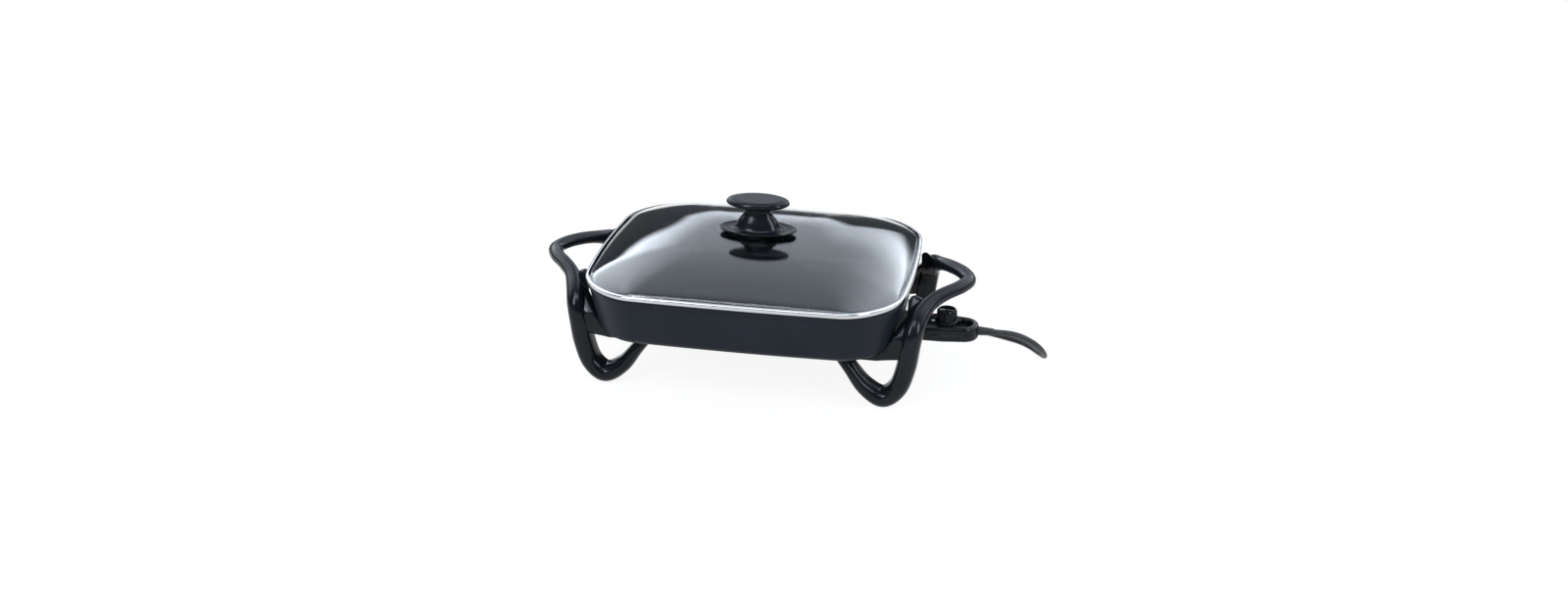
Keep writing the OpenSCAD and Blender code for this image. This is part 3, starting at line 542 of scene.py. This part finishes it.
# %% [markdown]
# ## Underneath the pan
# The heating element is cast into a ridge that runs round the underside and comes out at the heat
# control. The ridge is swept along the same loop as the element, and the bosses that take the
# screws and the sensor are turned shapes. The wall of each boss leans a little, as a casting must
# to leave its mould.

# %% Ridge, bosses and sensor boss
loop_l, loop_w, first_r, corner_bend = 125.0, 78.0, 20.0, 40.0


def loop_path(steps=14):
    """Half of the element's loop, from the control end round to the far end, seen from above."""
    quarter = np.linspace(0, math.pi / 2, steps)
    start_x, centre_x, centre_y = loop_l + first_r, loop_l - corner_bend, loop_w - corner_bend
    path = [(172.0, pin_y), (160.0, pin_y), (start_x, pin_y)]
    path += [(start_x - first_r * math.sin(a), pin_y + first_r * (1 - math.cos(a))) for a in quarter[1:]]
    path += [(centre_x + corner_bend * math.cos(a), centre_y + corner_bend * math.sin(a)) for a in quarter]
    path += [(x, loop_w) for x in (60, 30, 0, -30, -60)]
    path += [(-centre_x - corner_bend * math.sin(a), centre_y + corner_bend * math.cos(a)) for a in quarter]
    return path + [(-loop_l, 20.0), (-loop_l, 0.0)]


half = loop_path()
loop = half + [(x, -y) for x, y in reversed(half[:-1])]
ridge_section = [(-7.2, 75.5), (-6.3, 71), (-5.6, 66.6), (-5.0, 65.4), (-4.4, 65.0),
                 (4.4, 65.0), (5.0, 65.4), (5.6, 66.6), (6.3, 71), (7.2, 75.5)]
line = np.array(loop)
heading = np.gradient(line, axis=0)
heading /= np.linalg.norm(heading, axis=1)[:, None]
ridge = skin([[(p[0] + t[1] * u, p[1] - t[0] * u, z) for u, z in ridge_section]
              for p, t in zip(line, heading)])


def turned(profile, cx, cy, sides=40):
    """A closed turned shape about an upright axis, from (radius, height) pairs that climb outside."""
    return skin([[(cx + r * c, cy + r * s, z) for c, s in round_steps(sides)] for r, z in profile])


boss_x, boss_y = 108.0, 101.0
boss_profile = [(6.3, 70), (6.9, 70.3), (7.0, 71), (7.4, 75.4)]
bosses = [turned(boss_profile, x, y) for x in (-boss_x, boss_x) for y in (-boss_y, boss_y)]
sensor_line = [(x, 0, control_z) for x in (111.6, 112, 113, 150, 167, 168)]
sensor_boss = tube(sensor_line, [6.2, 7.2, 8, 8, 8, 7.4], 36)
web = skin([[(112, -5.4, z), (168, -5.4, z), (168, 5.4, z), (112, 5.4, z)] for z in (66, 75.4)])
underside = piece("pan_underside", together(ridge, sensor_boss, web, *bosses), pan_coating)
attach(underside, "base")
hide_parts("pan_body")
print("underside made:", len(bosses), "bosses")

# %% [markdown]
# ## The lid's glass
# Clear tempered glass, flat in its band and domed towards a flat patch under the knob. Glass that
# lets light through needs real thickness, so the skin runs over the top, round the edge and back
# below. The studio's soft light is what makes it look pale from the front.

# %% Lid glass
def towards_oval(points, share):
    """A share of an outline, which turns into an oval towards the middle."""
    out = []
    for x, y in points:
        oval = 1 / math.hypot(x / rim_half_l, y / rim_half_w)
        blend = share * (share + (1 - share) * oval)
        out.append((blend * x, blend * y))
    return out


glass_low, glass_t = rim_z + 0.8, 3.5
dome_rise, flat_share = 32.7, 0.19


def dome(share):
    """Rise of the glass at a share of the way from the middle to its edge."""
    return dome_rise * (1 - share ** 2.6) ** 0.72


glass_shares = [1, 0.997, 0.99, 0.98, 0.965, 0.945, 0.92, 0.89, 0.85, 0.8, 0.74, 0.67, 0.59, 0.5, 0.4, 0.3,
                flat_share]
inner_edge = rim_outline(5.5)
glass_under = [at_height(towards_oval(inner_edge, s), glass_low + dome(s)) for s in reversed(glass_shares)]
glass_edge = [(3.0, 0), (1.7, 0), (1.25, 0.4), (1.1, 1.1), (1.1, 2.4), (1.25, 3.1), (1.7, 3.5), (3.0, 3.5)]
glass_rim = [at_height(rim_outline(inset), glass_low + z) for inset, z in glass_edge]
glass_over = [at_height(towards_oval(inner_edge, s), glass_low + glass_t + dome(s)) for s in glass_shares]
lid_glass = finish("lid_glass", (0.93, 0.955, 0.965), (0.96, 0.975, 0.98), (0.0, 0.02),
                   Transmission_Weight=1.0, IOR=1.5)
glass = piece("lid_dome", skin(glass_under + glass_rim + glass_over), lid_glass, crease=60)
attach(glass, "lid")
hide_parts("lid_glass")
print("glass dome rises", round(dome(flat_share)), "mm")

# %% [markdown]
# ## The steel band
# A thin strip of polished steel rolled round the glass's edge. It is a channel: a flat foot that
# rests on the pan's lip, an upright wall, and a lip rolled in over the glass. The profile is bent
# round the rim's outline. Fine lines run along it, as rolling leaves them, so the relief is
# stretched along X and Y and dense in Z.

# %% Steel band
band_steel = finish("band_steel", (0.52, 0.53, 0.55), (0.62, 0.63, 0.65), (0.1, 0.2), relief=(40, 0.02),
                    stretch=(1, 1, 60), Metallic=1.0)
# Each pair is how far in from the rim's outline and how far above the pan's lip.
band_profile = [
    (5.5, 0.0), (1.0, 0.0), (0.35, 0.2), (0.0, 0.9), (0.0, 4.1), (0.2, 4.8), (0.8, 5.5), (1.8, 5.9),
    (3.1, 6.15), (3.5, 6.1), (3.5, 5.5), (3.1, 5.35), (1.9, 5.1), (1.2, 4.7), (0.85, 4.0), (0.8, 3.2),
    (0.8, 1.4), (1.0, 0.85), (1.6, 0.8), (5.5, 0.8)]
band_rings = [at_height(rim_outline(inset), rim_z + z) for inset, z in band_profile]
band = piece("lid_band_rolled", skin(band_rings, ring_of_rings=True), band_steel, crease=50)
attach(band, "lid")
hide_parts("lid_band")
print("band made")

# %% [markdown]
# ## The knob
# Glossy black phenolic in two mouldings: an oval saucer that flares from the neck, and an oval
# finger disc on a narrower neck. Both are stacks of oval rings. The profiles are drawn through a
# few points and then smoothed, because the real edges are soft and the highlights show every kink.

# %% Gloss black
gloss_black = finish("gloss_black", (0.003, 0.004, 0.006), (0.006, 0.008, 0.01), (0.14, 0.24),
                     relief=(160, 0.05), drift=18.0, Specular_IOR_Level=0.18)
print("gloss black ready")

# %% Knob
saucer_oval, disc_oval = 0.54, 0.58


def oval_rings(profile, ratio, sides=96):
    """An oval ring for each (half length, height) of a profile."""
    return [[(r * c, ratio * r * s, z) for c, s in round_steps(sides)] for r, z in profile]


saucer_profile = smooth_line([
    (40, 179.7), (44, 179.9), (47.5, 180.8), (49.3, 181.9), (49.75, 182.8), (49.2, 183.6), (47.8, 183.6),
    (45, 183.0), (41, 182.6), (37, 182.5), (33, 183.2), (30.2, 185), (28.2, 188), (26, 192.6),
    (22.8, 197.4), (19.6, 201.6), (17.8, 205.5)], 3)
saucer = piece("knob_saucer", skin(oval_rings(saucer_profile, saucer_oval)), gloss_black, crease=70)
disc_profile = smooth_line([
    (16, 205.5), (15.8, 208), (16.2, 210.4), (18.4, 212.2), (23, 213.0), (29, 213.6), (34.5, 214.4),
    (38.4, 215.7), (40.4, 217.2), (40.7, 218.6), (40.0, 220.4), (38.2, 222), (35, 223.1), (30, 223.5),
    (22, 223.5), (12, 223.5), (4, 223.5)], 3)
disc = piece("knob_disc", skin(oval_rings(disc_profile, disc_oval)), gloss_black, crease=70)
for part, node in ((saucer, "knob_base"), (disc, "knob_grip")):
    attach(part, "lid")
    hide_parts(node)
print("knob made")

# %% [markdown]
# ## Handle and leg mouldings
# One moulding on each end is a grip and two legs at once: it leaves the pan's corner, dips to the
# foot, climbs past the rim and bows out as the grip, then does the same in reverse. It is a sweep
# whose section changes on the way: a rounded nose in front and a flatter back. The CAD has the same
# stations, and here the section has 32 sides and eight steps to each stretch.

# %% Handle sweep
stations = [  # place, (width, depth), nose direction, squareness of the back
    ((120, -97, 66.5), (13, 22), (0, -1, 0), 0.45),
    ((136, -99, 48), (16.5, 26), (0, -1, 0), 0.45),
    ((155, -100, 24), (20.5, 29), (0, -1, 0), 0.45),
    ((178, -101, 11.4), (24, 30), (0, -1, 0), 0.45),
    ((196.5, -101, 26), (24.5, 30), (0, -1, 0), 0.45),
    ((206, -101, 55), (25, 30), (0, -1, 0), 0.45),
    ((209.5, -101, 80), (25.5, 30), (0, -1, 0), 0.45),
    ((213, -98, 102), (25.5, 28), (0.1, -1, 0.1), 0.5),
    ((218.5, -86, 117), (23.5, 22), (0.35, -0.8, 0.5), 0.65),
    ((229.5, -63, 127), (19, 18), (0.3, -0.4, 0.9), 0.8),
    ((244.5, -44, 132), (18, 16), (0, -0.1, 1), 0.85),
    ((261.5, -23, 133.5), (18.5, 15.5), (0, 0, 1), 0.85),
    ((270, 0, 133.5), (19, 15), (0, 0, 1), 0.85),
]
stations += [((p[0], -p[1], p[2]), size, (nose[0], -nose[1], nose[2]), back)
             for p, size, nose, back in reversed(stations[:-1])]
spread = smooth_line([(*p, *size, *nose, back) for p, size, nose, back in stations], 8)
nose_power = 0.9


def handle_rings(sides=32):
    """The sections of the sweep, each square to the line that it follows."""
    centre = spread[:, :3]
    ahead = np.gradient(centre, axis=0)
    ahead /= np.linalg.norm(ahead, axis=1)[:, None]
    rings = []
    for row, t in zip(spread, ahead):
        nose = row[5:8] - t * float(row[5:8] @ t)
        nose /= np.linalg.norm(nose)
        side = np.cross(nose, t)
        ring = []
        for c, s in round_steps(sides):
            power = row[8] if s < 0 else nose_power
            u, v = row[3] / 2 * squared_off(c, power), row[4] / 2 * squared_off(s, power)
            p = row[:3] + u * side + v * nose
            ring.append((p[0], p[1], max(p[2], 0.0)))
        rings.append(ring)
    return rings


sweep = skin(handle_rings())
print("handle sweep:", len(spread), "rings")

# %% [markdown]
# Each moulding also carries two pads that lie under the pan's corners. Outside the wall a pad rises
# as a gusset that leans with the outer arm, and a thin rib closes the notch between the pan's corner
# and the arm's shoulder. A pad is a soft-edged bar whose top follows the pan: every point that would
# be in the pan is brought down to its surface, found from how far in from the rim the point is.

# %% Pads under the corners
rim_line = np.array(rim_outline(0, 40, 30))
bend_inset, flat_inset = 12.8, 24.6  # how far in the wall's foot bends, and where it has become flat


def pan_underside_height(x, y):
    """Height of the pan's outside above a place on the table, in millimetres."""
    a, b = rim_line, np.roll(rim_line, -1, axis=0)
    t = np.clip(((np.array([x, y]) - a) * (b - a)).sum(1) / ((b - a) ** 2).sum(1), 0, 1)
    apart = np.array([x, y]) - (a + t[:, None] * (b - a))
    near = int(np.linalg.norm(apart, axis=1).argmin())
    inset = float(np.linalg.norm(apart[near]))
    if apart[near] @ (a[near] + b[near]) > 0:
        return rim_z
    if inset > flat_inset:
        return underside_z
    if inset > bend_inset:
        return bend_z - math.sqrt(max(bottom_r ** 2 - (flat_inset - inset) ** 2, 0))
    return rim_z - (inset - wall_gap) * (rim_z - underside_z) / wall_lean


pad_in, pad_out, pad_low, pad_half_w, pad_round = 98.0, 210.0, 64.0, 12.0, 5.0
gusset_in, gusset_run, gusset_rise = 170.0, 36.0, 45.0
lean_most, lean_low, lean_run = 17.0, 96.0, 24.0
pad_power, web_power = 0.5, 0.4


def pad():
    """One pad with its gusset, for the corner at +X and +Y."""
    rings = []
    for x in np.linspace(pad_in, pad_out, 75):
        rise = min(max((x - gusset_in) / gusset_run, 0), 1)
        end = max(1 - (x - pad_in) / pad_round, 0)
        half_w = pad_half_w - 3.0 * rise - 3 * end ** 2
        low, high = pad_low + 2.2 * rise + 1.5 * end ** 2, underside_z + gusset_rise * rise
        ring = []
        for c, s in round_steps(60):
            z = (low + high) / 2 + (high - low) / 2 * squared_off(s, pad_power)
            lean = lean_most * min(max((z - lean_low) / lean_run, 0), 1)
            y = boss_y + half_w * squared_off(c, pad_power) - lean
            ring.append((float(x), y, min(z, pan_underside_height(x, y) - 0.05)))
        rings.append(ring)
    return skin(rings)


web_half_t, web_lean, web_mid_z = 3.2, 0.4, 115.0
web_stations = [  # x, y, lowest and highest point
    (203, 81, 98, 133), (206, 80, 98, 137), (210, 78, 98, 138), (216, 74, 100, 135), (222, 71, 104, 131)]


def shoulder_web():
    """A rib that closes the notch between the pan's corner and the outer arm's shoulder."""
    rings = []
    for x, y, low, high in web_stations:
        ring = []
        for c, s in round_steps(24):
            z = (low + high) / 2 + (high - low) / 2 * squared_off(s, web_power)
            ring.append((x, y - web_lean * (z - web_mid_z) + web_half_t * squared_off(c, 0.6), z))
        rings.append(ring)
    return skin(rings)


one_pad = together(pad(), shoulder_web())
right_shape = together(sweep, one_pad, mirrored(one_pad, y=-1))
for name, shape, node in (
    ("handle_right", right_shape, "handle_leg_right"),
    ("handle_left", mirrored(right_shape, x=-1), "handle_leg_left"),
):
    handle = piece(name, shape, gloss_black, crease=55)
    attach(handle, "base")
    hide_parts(node)
print("two handle mouldings made")

# %% [markdown]
# ## The heat control
# A black phenolic housing in two halves, which ends in a ring for the finger that pulls it out. Its
# plan is the hull of a few circles, and such a plan can be drawn at any inset just by shrinking the
# circles. A stack of these plans with small insets at the ends gives the soft edges. The ring's
# hole is cut with a boolean, whose cutter flares at both ends so that the hole's edge is soft too.

# %% Housing
control_black = finish("control_black", (0.003, 0.004, 0.005), (0.006, 0.007, 0.009), (0.14, 0.24),
                       relief=(1100, 0.04), Specular_IOR_Level=0.2)
plan_circles = [(210.5, -20, 4), (210.5, 20, 4), (240, -16, 8), (240, 16, 8), (ring_x, 0, ring_r)]
pilot_x, pilot_y, spot_x = 224.0, 17.5, 228.0


def housing_plan(inset, sides=120):
    """The hull of the plan's circles, each shrunk by inset."""
    ring = []
    for d in round_steps(sides):
        x, y, r = max(plan_circles, key=lambda circle: circle[0] * d[0] + circle[1] * d[1] + circle[2])
        ring.append((x + (r - inset) * d[0], y + (r - inset) * d[1]))
    return ring


def cut(obj, *cutters):
    """Take cutters away from a piece, for good."""
    for shape in cutters:
        tool = piece("cutter", shape, obj.data.materials[0])
        hole = obj.modifiers.new("hole", "BOOLEAN")
        hole.operation, hole.solver, hole.object = "DIFFERENCE", "EXACT", tool
        graph = bpy.context.evaluated_depsgraph_get()
        mesh = bpy.data.meshes.new_from_object(obj.evaluated_get(graph))
        obj.modifiers.clear()
        obj.data = mesh
        bpy.data.objects.remove(tool)
    obj.data.polygons.foreach_set("use_smooth", [True] * len(obj.data.polygons))
    obj.data.set_sharp_from_angle(angle=math.radians(plain_crease))


ring_hole = [(12.9, 54), (12.4, 55.5), (11.6, 56.2), (11.1, 57.3), (11, 59), (11, 70.6), (11.2, 71.9),
             (11.8, 73.2), (12.8, 74.2), (13.3, 74.5), (13.9, 76)]
nose_back, nose_front, nose_half_w = 208.0, 184.5, 20.0


def nose_plan(inset):
    """The plan of the nose that goes into the guard, drawn in by inset."""
    front, half_w = nose_front + inset, nose_half_w - inset
    return [(front, -half_w), (nose_back, -half_w), (nose_back, half_w), (front, half_w)]


def half_housing(name, levels, node, nose_levels):
    """One half of the housing with its half of the nose, and the holes in both."""
    shell = piece(name, skin([at_height(housing_plan(i), z) for i, z in levels]), control_black)
    holes = [turned(ring_hole, ring_x, 0, 64)]
    if node == "control_upper":
        holes.append(turned([(3.15, 60), (3.15, 76)], dial_x, 0, 40))
        holes.append(turned([(2.6, 60), (2.6, 73.6), (3.1, 74.6), (3.1, 76)], pilot_x, pilot_y, 32))
        holes.append(turned([(2.6, 73.9), (2.6, 76)], spot_x, 0, 32))
    cut(shell, *holes)
    nose = skin([at_height(nose_plan(i), z) for i, z in nose_levels])
    nose_piece = piece(name + "_nose", nose, control_black)
    bores = [tube([(nose_front - 1.5, y, control_z), (nose_back - 1, y, control_z)], r, 32)
             for y, r in ((0, 4.0), (-pin_y, 3.6), (pin_y, 3.6))]
    cut(nose_piece, *bores)
    for part in (shell, nose_piece):
        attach(part, "heat_control")
        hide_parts(node)


upper_levels = [(0.35, 65.12), (0.0, 65.5), (0.0, 70.6), (0.25, 72.0), (0.9, 73.3), (1.9, 74.1), (3.2, 74.5)]
lower_levels = [(2.6, 55.5), (1.4, 55.9), (0.6, 56.7), (0.1, 58.2), (0.0, 59.6), (0.0, 64.5), (0.35, 64.88)]
half_housing("housing_upper", upper_levels, "control_upper", [(0, 65.1), (0, 70.7), (0.8, 71.5)])
half_housing("housing_lower", lower_levels, "control_lower", [(0.8, 58.5), (0, 59.3), (0, 64.9)])
print("housing halves made")

# %% [markdown]
# ## Dial
# A black cup with a skirt, a grip bar across its hollow top and flutes round it. The cup is a turned
# shape. The flutes repeat, so a Geometry Nodes tree sets them round a circle. One pale line on the
# bar is the pointer, and it is enough to read the piece as a dial without any numbers.

# %% Tree of bars round a circle
def around_tree(name, material):
    """Small rounded bars set round a circle, each pointing out."""
    tree, given = new_tree(name, Count=20, Radius=0.0125, Long=0.001, Wide=0.001, Tall=0.01)
    nodes, links = tree.nodes, tree.links
    circle = nodes.new("GeometryNodeMeshCircle")
    links.new(given.outputs["Count"], circle.inputs["Vertices"])
    links.new(given.outputs["Radius"], circle.inputs["Radius"])
    bar = nodes.new("GeometryNodeMeshUVSphere")
    bar.inputs["Segments"].default_value, bar.inputs["Rings"].default_value = 12, 8
    bar.inputs["Radius"].default_value = 0.5
    size = nodes.new("ShaderNodeCombineXYZ")
    for label, axis in (("Long", "X"), ("Wide", "Y"), ("Tall", "Z")):
        links.new(given.outputs[label], size.inputs[axis])
    shaped = nodes.new("GeometryNodeTransform")
    links.new(bar.outputs["Mesh"], shaped.inputs["Geometry"])
    links.new(size.outputs[0], shaped.inputs["Scale"])
    position = nodes.new("GeometryNodeInputPosition")
    facing = nodes.new("FunctionNodeAlignRotationToVector")
    facing.axis = "X"
    links.new(position.outputs[0], facing.inputs["Vector"])
    place = nodes.new("GeometryNodeInstanceOnPoints")
    links.new(circle.outputs["Mesh"], place.inputs["Points"])
    links.new(shaped.outputs["Geometry"], place.inputs["Instance"])
    links.new(facing.outputs[0], place.inputs["Rotation"])
    end_tree(tree, place.outputs["Instances"], material)
    return tree


print("circle tree ready")

# %% Dial
cup_profile = [
    (14, 74.8), (14, 76.0), (13.7, 76.5), (12.6, 77.0), (12.2, 78.2), (12.1, 89.4), (11.7, 90.9),
    (11.0, 91.9), (10.5, 92.0), (10.0, 91.6), (9.8, 90.6), (9.7, 87.2), (9.2, 86.7), (3, 86.7)]
cup = turned(cup_profile, dial_x, 0, 80)
bar_half_l, bar_half_w = 9.9, 2.5
bar_corners = ((1, -1), (1, 1), (-1, 1), (-1, -1))
bar_rings = [[(dial_x + sx * (bar_half_l - i), sy * (bar_half_w - i), z) for sx, sy in bar_corners]
             for i, z in ((0, 84), (0, 89.9), (0.25, 90.3), (0.7, 90.5))]
dial = piece("dial_cup", together(cup, skin(bar_rings)), control_black)
flutes = grown("dial_flutes", around_tree("flutes", control_black), place=(dial_x, 0, 84),
               Count=20, Radius=0.0122, Long=0.0016, Wide=0.0019, Tall=0.0148)
marks_white = finish("index_white", (0.62, 0.62, 0.62), (0.72, 0.72, 0.7), (0.4, 0.5))
pointer_plan = [(dial_x - 9, -0.5), (dial_x - 3, -0.5), (dial_x - 3, 0.5), (dial_x - 9, 0.5)]
pointer = piece("dial_pointer", skin([at_height(pointer_plan, z) for z in (90.35, 90.6)]), marks_white)
for part in (dial, flutes, pointer):
    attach(part, "dial")
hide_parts("dial")
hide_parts("dial")
print("dial made")

# %% [markdown]
# ## Pilot light and index
# A small red lens stands in the housing's top beside the dial, and a pale index spot between the
# dial and the pan. The lens is a low dome. Its material lets light in and is tinted, so it reads as
# a lamp that is off.

# %% Pilot lens and index spot
pilot_red = finish("pilot_red", (0.5, 0.035, 0.02), (0.62, 0.06, 0.04), (0.08, 0.16),
                   Transmission_Weight=0.35, IOR=1.45)
lens_profile = [(2.5, 72.5), (2.5, 74.5), (2.3, 74.9), (1.7, 75.2), (0.7, 75.3)]
lens_dome = piece("pilot_dome", turned(lens_profile, pilot_x, pilot_y, 28), pilot_red, crease=60)
spot_profile = [(2.4, 73.9), (2.4, 74.35), (1.9, 74.5), (0.4, 74.55)]
spot = piece("index_spot", turned(spot_profile, spot_x, 0, 28), marks_white, crease=60)
for part in (lens_dome, spot):
    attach(part, "heat_control")
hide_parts("pilot_lens")
print("pilot lens made")

# %% [markdown]
# ## Finishes of the pieces that stay as CAD
# The element, pins, insulators, guard, screws, washers, sensor, sockets and switch keep their CAD
# solids, because their shapes are already right. They get their finish by filling the material
# slots of their objects.

# %% Finishes for the CAD pieces
element_steel = finish("element_steel", (0.16, 0.14, 0.13), (0.33, 0.31, 0.3), (0.35, 0.55),
                       relief=(700, 0.04), Metallic=1.0)
bright_steel = finish("bright_steel", (0.55, 0.55, 0.56), (0.68, 0.68, 0.69), (0.16, 0.28),
                      relief=(60, 0.01), stretch=(1, 30, 30), Metallic=1.0)
screw_steel = finish("screw_steel", (0.45, 0.45, 0.46), (0.6, 0.6, 0.61), (0.25, 0.4),
                     relief=(900, 0.02), Metallic=1.0)
black_moulding = finish("black_moulding", (0.016, 0.016, 0.018), (0.028, 0.028, 0.03), (0.4, 0.55),
                        relief=(900, 0.08))
gasket_rubber = finish("gasket_rubber", (0.02, 0.02, 0.022), (0.035, 0.035, 0.037), (0.6, 0.75),
                       relief=(1600, 0.06))
ceramic = finish("ceramic", (0.72, 0.7, 0.65), (0.82, 0.8, 0.75), (0.5, 0.7), relief=(1300, 0.07))
brass = finish("brass", (0.5, 0.36, 0.14), (0.66, 0.5, 0.22), (0.18, 0.34), relief=(500, 0.02), Metallic=1.0)
lamp_glass = finish("lamp_glass", (0.8, 0.5, 0.4), (0.9, 0.6, 0.5), (0.05, 0.1),
                    Transmission_Weight=0.8, IOR=1.45)
dressed = [
    (element_steel, ["heating_element"]),
    (bright_steel, ["terminal_pins", "dial_shaft", "sensor_probe"]),
    (screw_steel, ["guard_screws", "handle_screws", "handle_washers", "knob_screw", "control_screws"]),
    (black_moulding, ["terminal_guard", "knob_washer"]),
    (gasket_rubber, ["knob_gasket"]),
    (ceramic, ["pin_insulators", "switch_block"]),
    (brass, ["contact_sockets", "switch_leaves", "plug_blades"]),
    (lamp_glass, ["pilot_lamp"]),
]
for material, names in dressed:
    for name in names:
        for holder in bpy.data.objects[name].material_slots:
            holder.material = material
print("finishes on", sum(len(names) for material, names in dressed), "CAD pieces")

# %% [markdown]
# ## Studio floor
# The photograph has a pure white ground with a faint, soft shadow. The floor is therefore a white
# surface that the light falls on, mixed with plain white wherever it is looked at directly, in a
# reflection or through glass. The mix thins the shadow and doesn't remove it.

# %% Floor
plain_share = 0.9
floor_white = bpy.data.materials.new("floor_white")
floor_white.use_nodes = True
tree = floor_white.node_tree
lit = tree.nodes["Principled BSDF"]
lit.inputs["Base Color"].default_value = (0.93, 0.93, 0.93, 1)
lit.inputs["Roughness"].default_value = 0.9
lit.inputs["Specular IOR Level"].default_value = 0.0
plain = tree.nodes.new("ShaderNodeEmission")
plain.inputs["Color"].default_value, plain.inputs["Strength"].default_value = (1, 1, 1, 1), 1.0
ray = tree.nodes.new("ShaderNodeLightPath")
seen = tree.nodes.new("ShaderNodeMath")
shown = tree.nodes.new("ShaderNodeMath")
share = tree.nodes.new("ShaderNodeMath")
seen.operation, shown.operation, share.operation = "MAXIMUM", "MAXIMUM", "MULTIPLY"
tree.links.new(ray.outputs["Is Camera Ray"], seen.inputs[0])
tree.links.new(ray.outputs["Is Glossy Ray"], seen.inputs[1])
tree.links.new(seen.outputs[0], shown.inputs[0])
tree.links.new(ray.outputs["Is Transmission Ray"], shown.inputs[1])
tree.links.new(shown.outputs[0], share.inputs[0])
share.inputs[1].default_value = plain_share
floor_mix = tree.nodes.new("ShaderNodeMixShader")
tree.links.new(share.outputs[0], floor_mix.inputs["Fac"])
tree.links.new(lit.outputs[0], floor_mix.inputs[1])
tree.links.new(plain.outputs[0], floor_mix.inputs[2])
tree.links.new(floor_mix.outputs[0], tree.nodes["Material Output"].inputs["Surface"])
reach = 20000.0
floor_corners = [(-reach, -reach, 0), (reach, -reach, 0), (reach, reach, 0), (-reach, reach, 0)]
floor = piece("studio_floor", (floor_corners, [(0, 1, 2, 3)]), floor_white)
print("floor made")

# %% [markdown]
# ## Studio light
# Black gloss and clear glass have almost no colour of their own: they show what stands round them.
# The studio is therefore drawn into the world as a dark room with one huge soft card behind and
# above the object. The front of the glass mirrors the card, and the rear of the glass mirrors the
# dark below it. The card's lower edge is an arch and its sides are brighter than its middle, which
# gives the glass its bright flanks and its dark middle. Two softboxes in front draw the streaks on
# the legs, and a broad one above lights the knob and the grips.

# %% Softboxes
def softbox(name, place, target, size, watts, colour):
    """A rectangular lamp at a place, turned towards a target, all in metres."""
    light = bpy.data.lights.new(name, "AREA")
    light.shape, light.size, light.size_y = "RECTANGLE", size[0], size[1]
    light.energy, light.color = watts, colour
    holder = bpy.data.objects.new(name, light)
    holder.location = place
    holder.rotation_euler = (Vector(place) - Vector(target)).to_track_quat("Z", "Y").to_euler()
    bpy.context.scene.collection.objects.link(holder)


softbox("front_left_softbox", (-0.95, -1.55, 1.25), (0, 0, 0.1), (0.4, 1.0), 24, (0.88, 0.93, 1.0))
softbox("front_right_softbox", (1.35, -1.0, 0.9), (0.1, 0, 0.1), (0.35, 0.9), 14, (0.88, 0.94, 1.0))
softbox("overhead_softbox", (-0.1, -1.1, 1.7), (0, 0, 0.1), (1.5, 0.6), 18, (0.9, 0.95, 1.0))
print("three softboxes made")

# %% Room with an arched card
world = bpy.data.worlds.new("studio_room")
bpy.context.scene.world = world
world.use_nodes = True
air = world.node_tree
for node in list(air.nodes):
    air.nodes.remove(node)
direction = air.nodes.new("ShaderNodeTexCoord")
parts = air.nodes.new("ShaderNodeSeparateXYZ")
air.links.new(direction.outputs["Generated"], parts.inputs["Vector"])


def fade(value, start, end):
    """A soft step from 0 to 1 as a value grows from start to end."""
    step = air.nodes.new("ShaderNodeMapRange")
    step.interpolation_type = "SMOOTHSTEP"
    step.inputs["From Min"].default_value, step.inputs["From Max"].default_value = start, end
    air.links.new(value, step.inputs["Value"])
    return step.outputs["Result"]


def joined(operation, first, second):
    """Two values multiplied or added. The second may be a plain number."""
    result = air.nodes.new("ShaderNodeMath")
    result.operation = operation
    air.links.new(first, result.inputs[0])
    if isinstance(second, float):
        result.inputs[1].default_value = second
    else:
        air.links.new(second, result.inputs[1])
    return result.outputs["Value"]


def mixed(share, low, high):
    """A value that goes from low to high as the share goes from 0 to 1."""
    level = air.nodes.new("ShaderNodeMapRange")
    level.inputs["To Min"].default_value, level.inputs["To Max"].default_value = low, high
    air.links.new(share, level.inputs["Value"])
    return level.outputs["Result"]


across, ahead, up = (parts.outputs[axis] for axis in "XYZ")
# Lowering the height on both sides of the middle raises the card's lower edge there.
right_drop = mixed(fade(across, -0.14, -0.04), 0.0, -0.12)
left_drop = mixed(fade(across, -0.22, -0.34), 0.0, -0.12)
above = joined("ADD", up, joined("ADD", right_drop, left_drop))
card = joined("MULTIPLY", fade(above, 0.14, 0.2), fade(ahead, -0.35, 0.15))
right_glow = mixed(fade(across, -0.05, 0.32), 0.9, 2.6)
left_glow = mixed(fade(across, -0.24, -0.5), 0.0, 1.9)
sides = joined("ADD", right_glow, left_glow)
foot = mixed(fade(above, 0.34, 0.19), 1.0, 1.9)
dark_room = 0.1
glow = joined("ADD", joined("MULTIPLY", joined("MULTIPLY", card, foot), sides), dark_room)
room = air.nodes.new("ShaderNodeBackground")
room.inputs["Color"].default_value = (0.86, 0.93, 1.03, 1)
air.links.new(glow, room.inputs["Strength"])
surround = air.nodes.new("ShaderNodeOutputWorld")
air.links.new(room.outputs[0], surround.inputs["Surface"])
bpy.context.scene.view_settings.view_transform = "Standard"
print("room made, with one arched card")
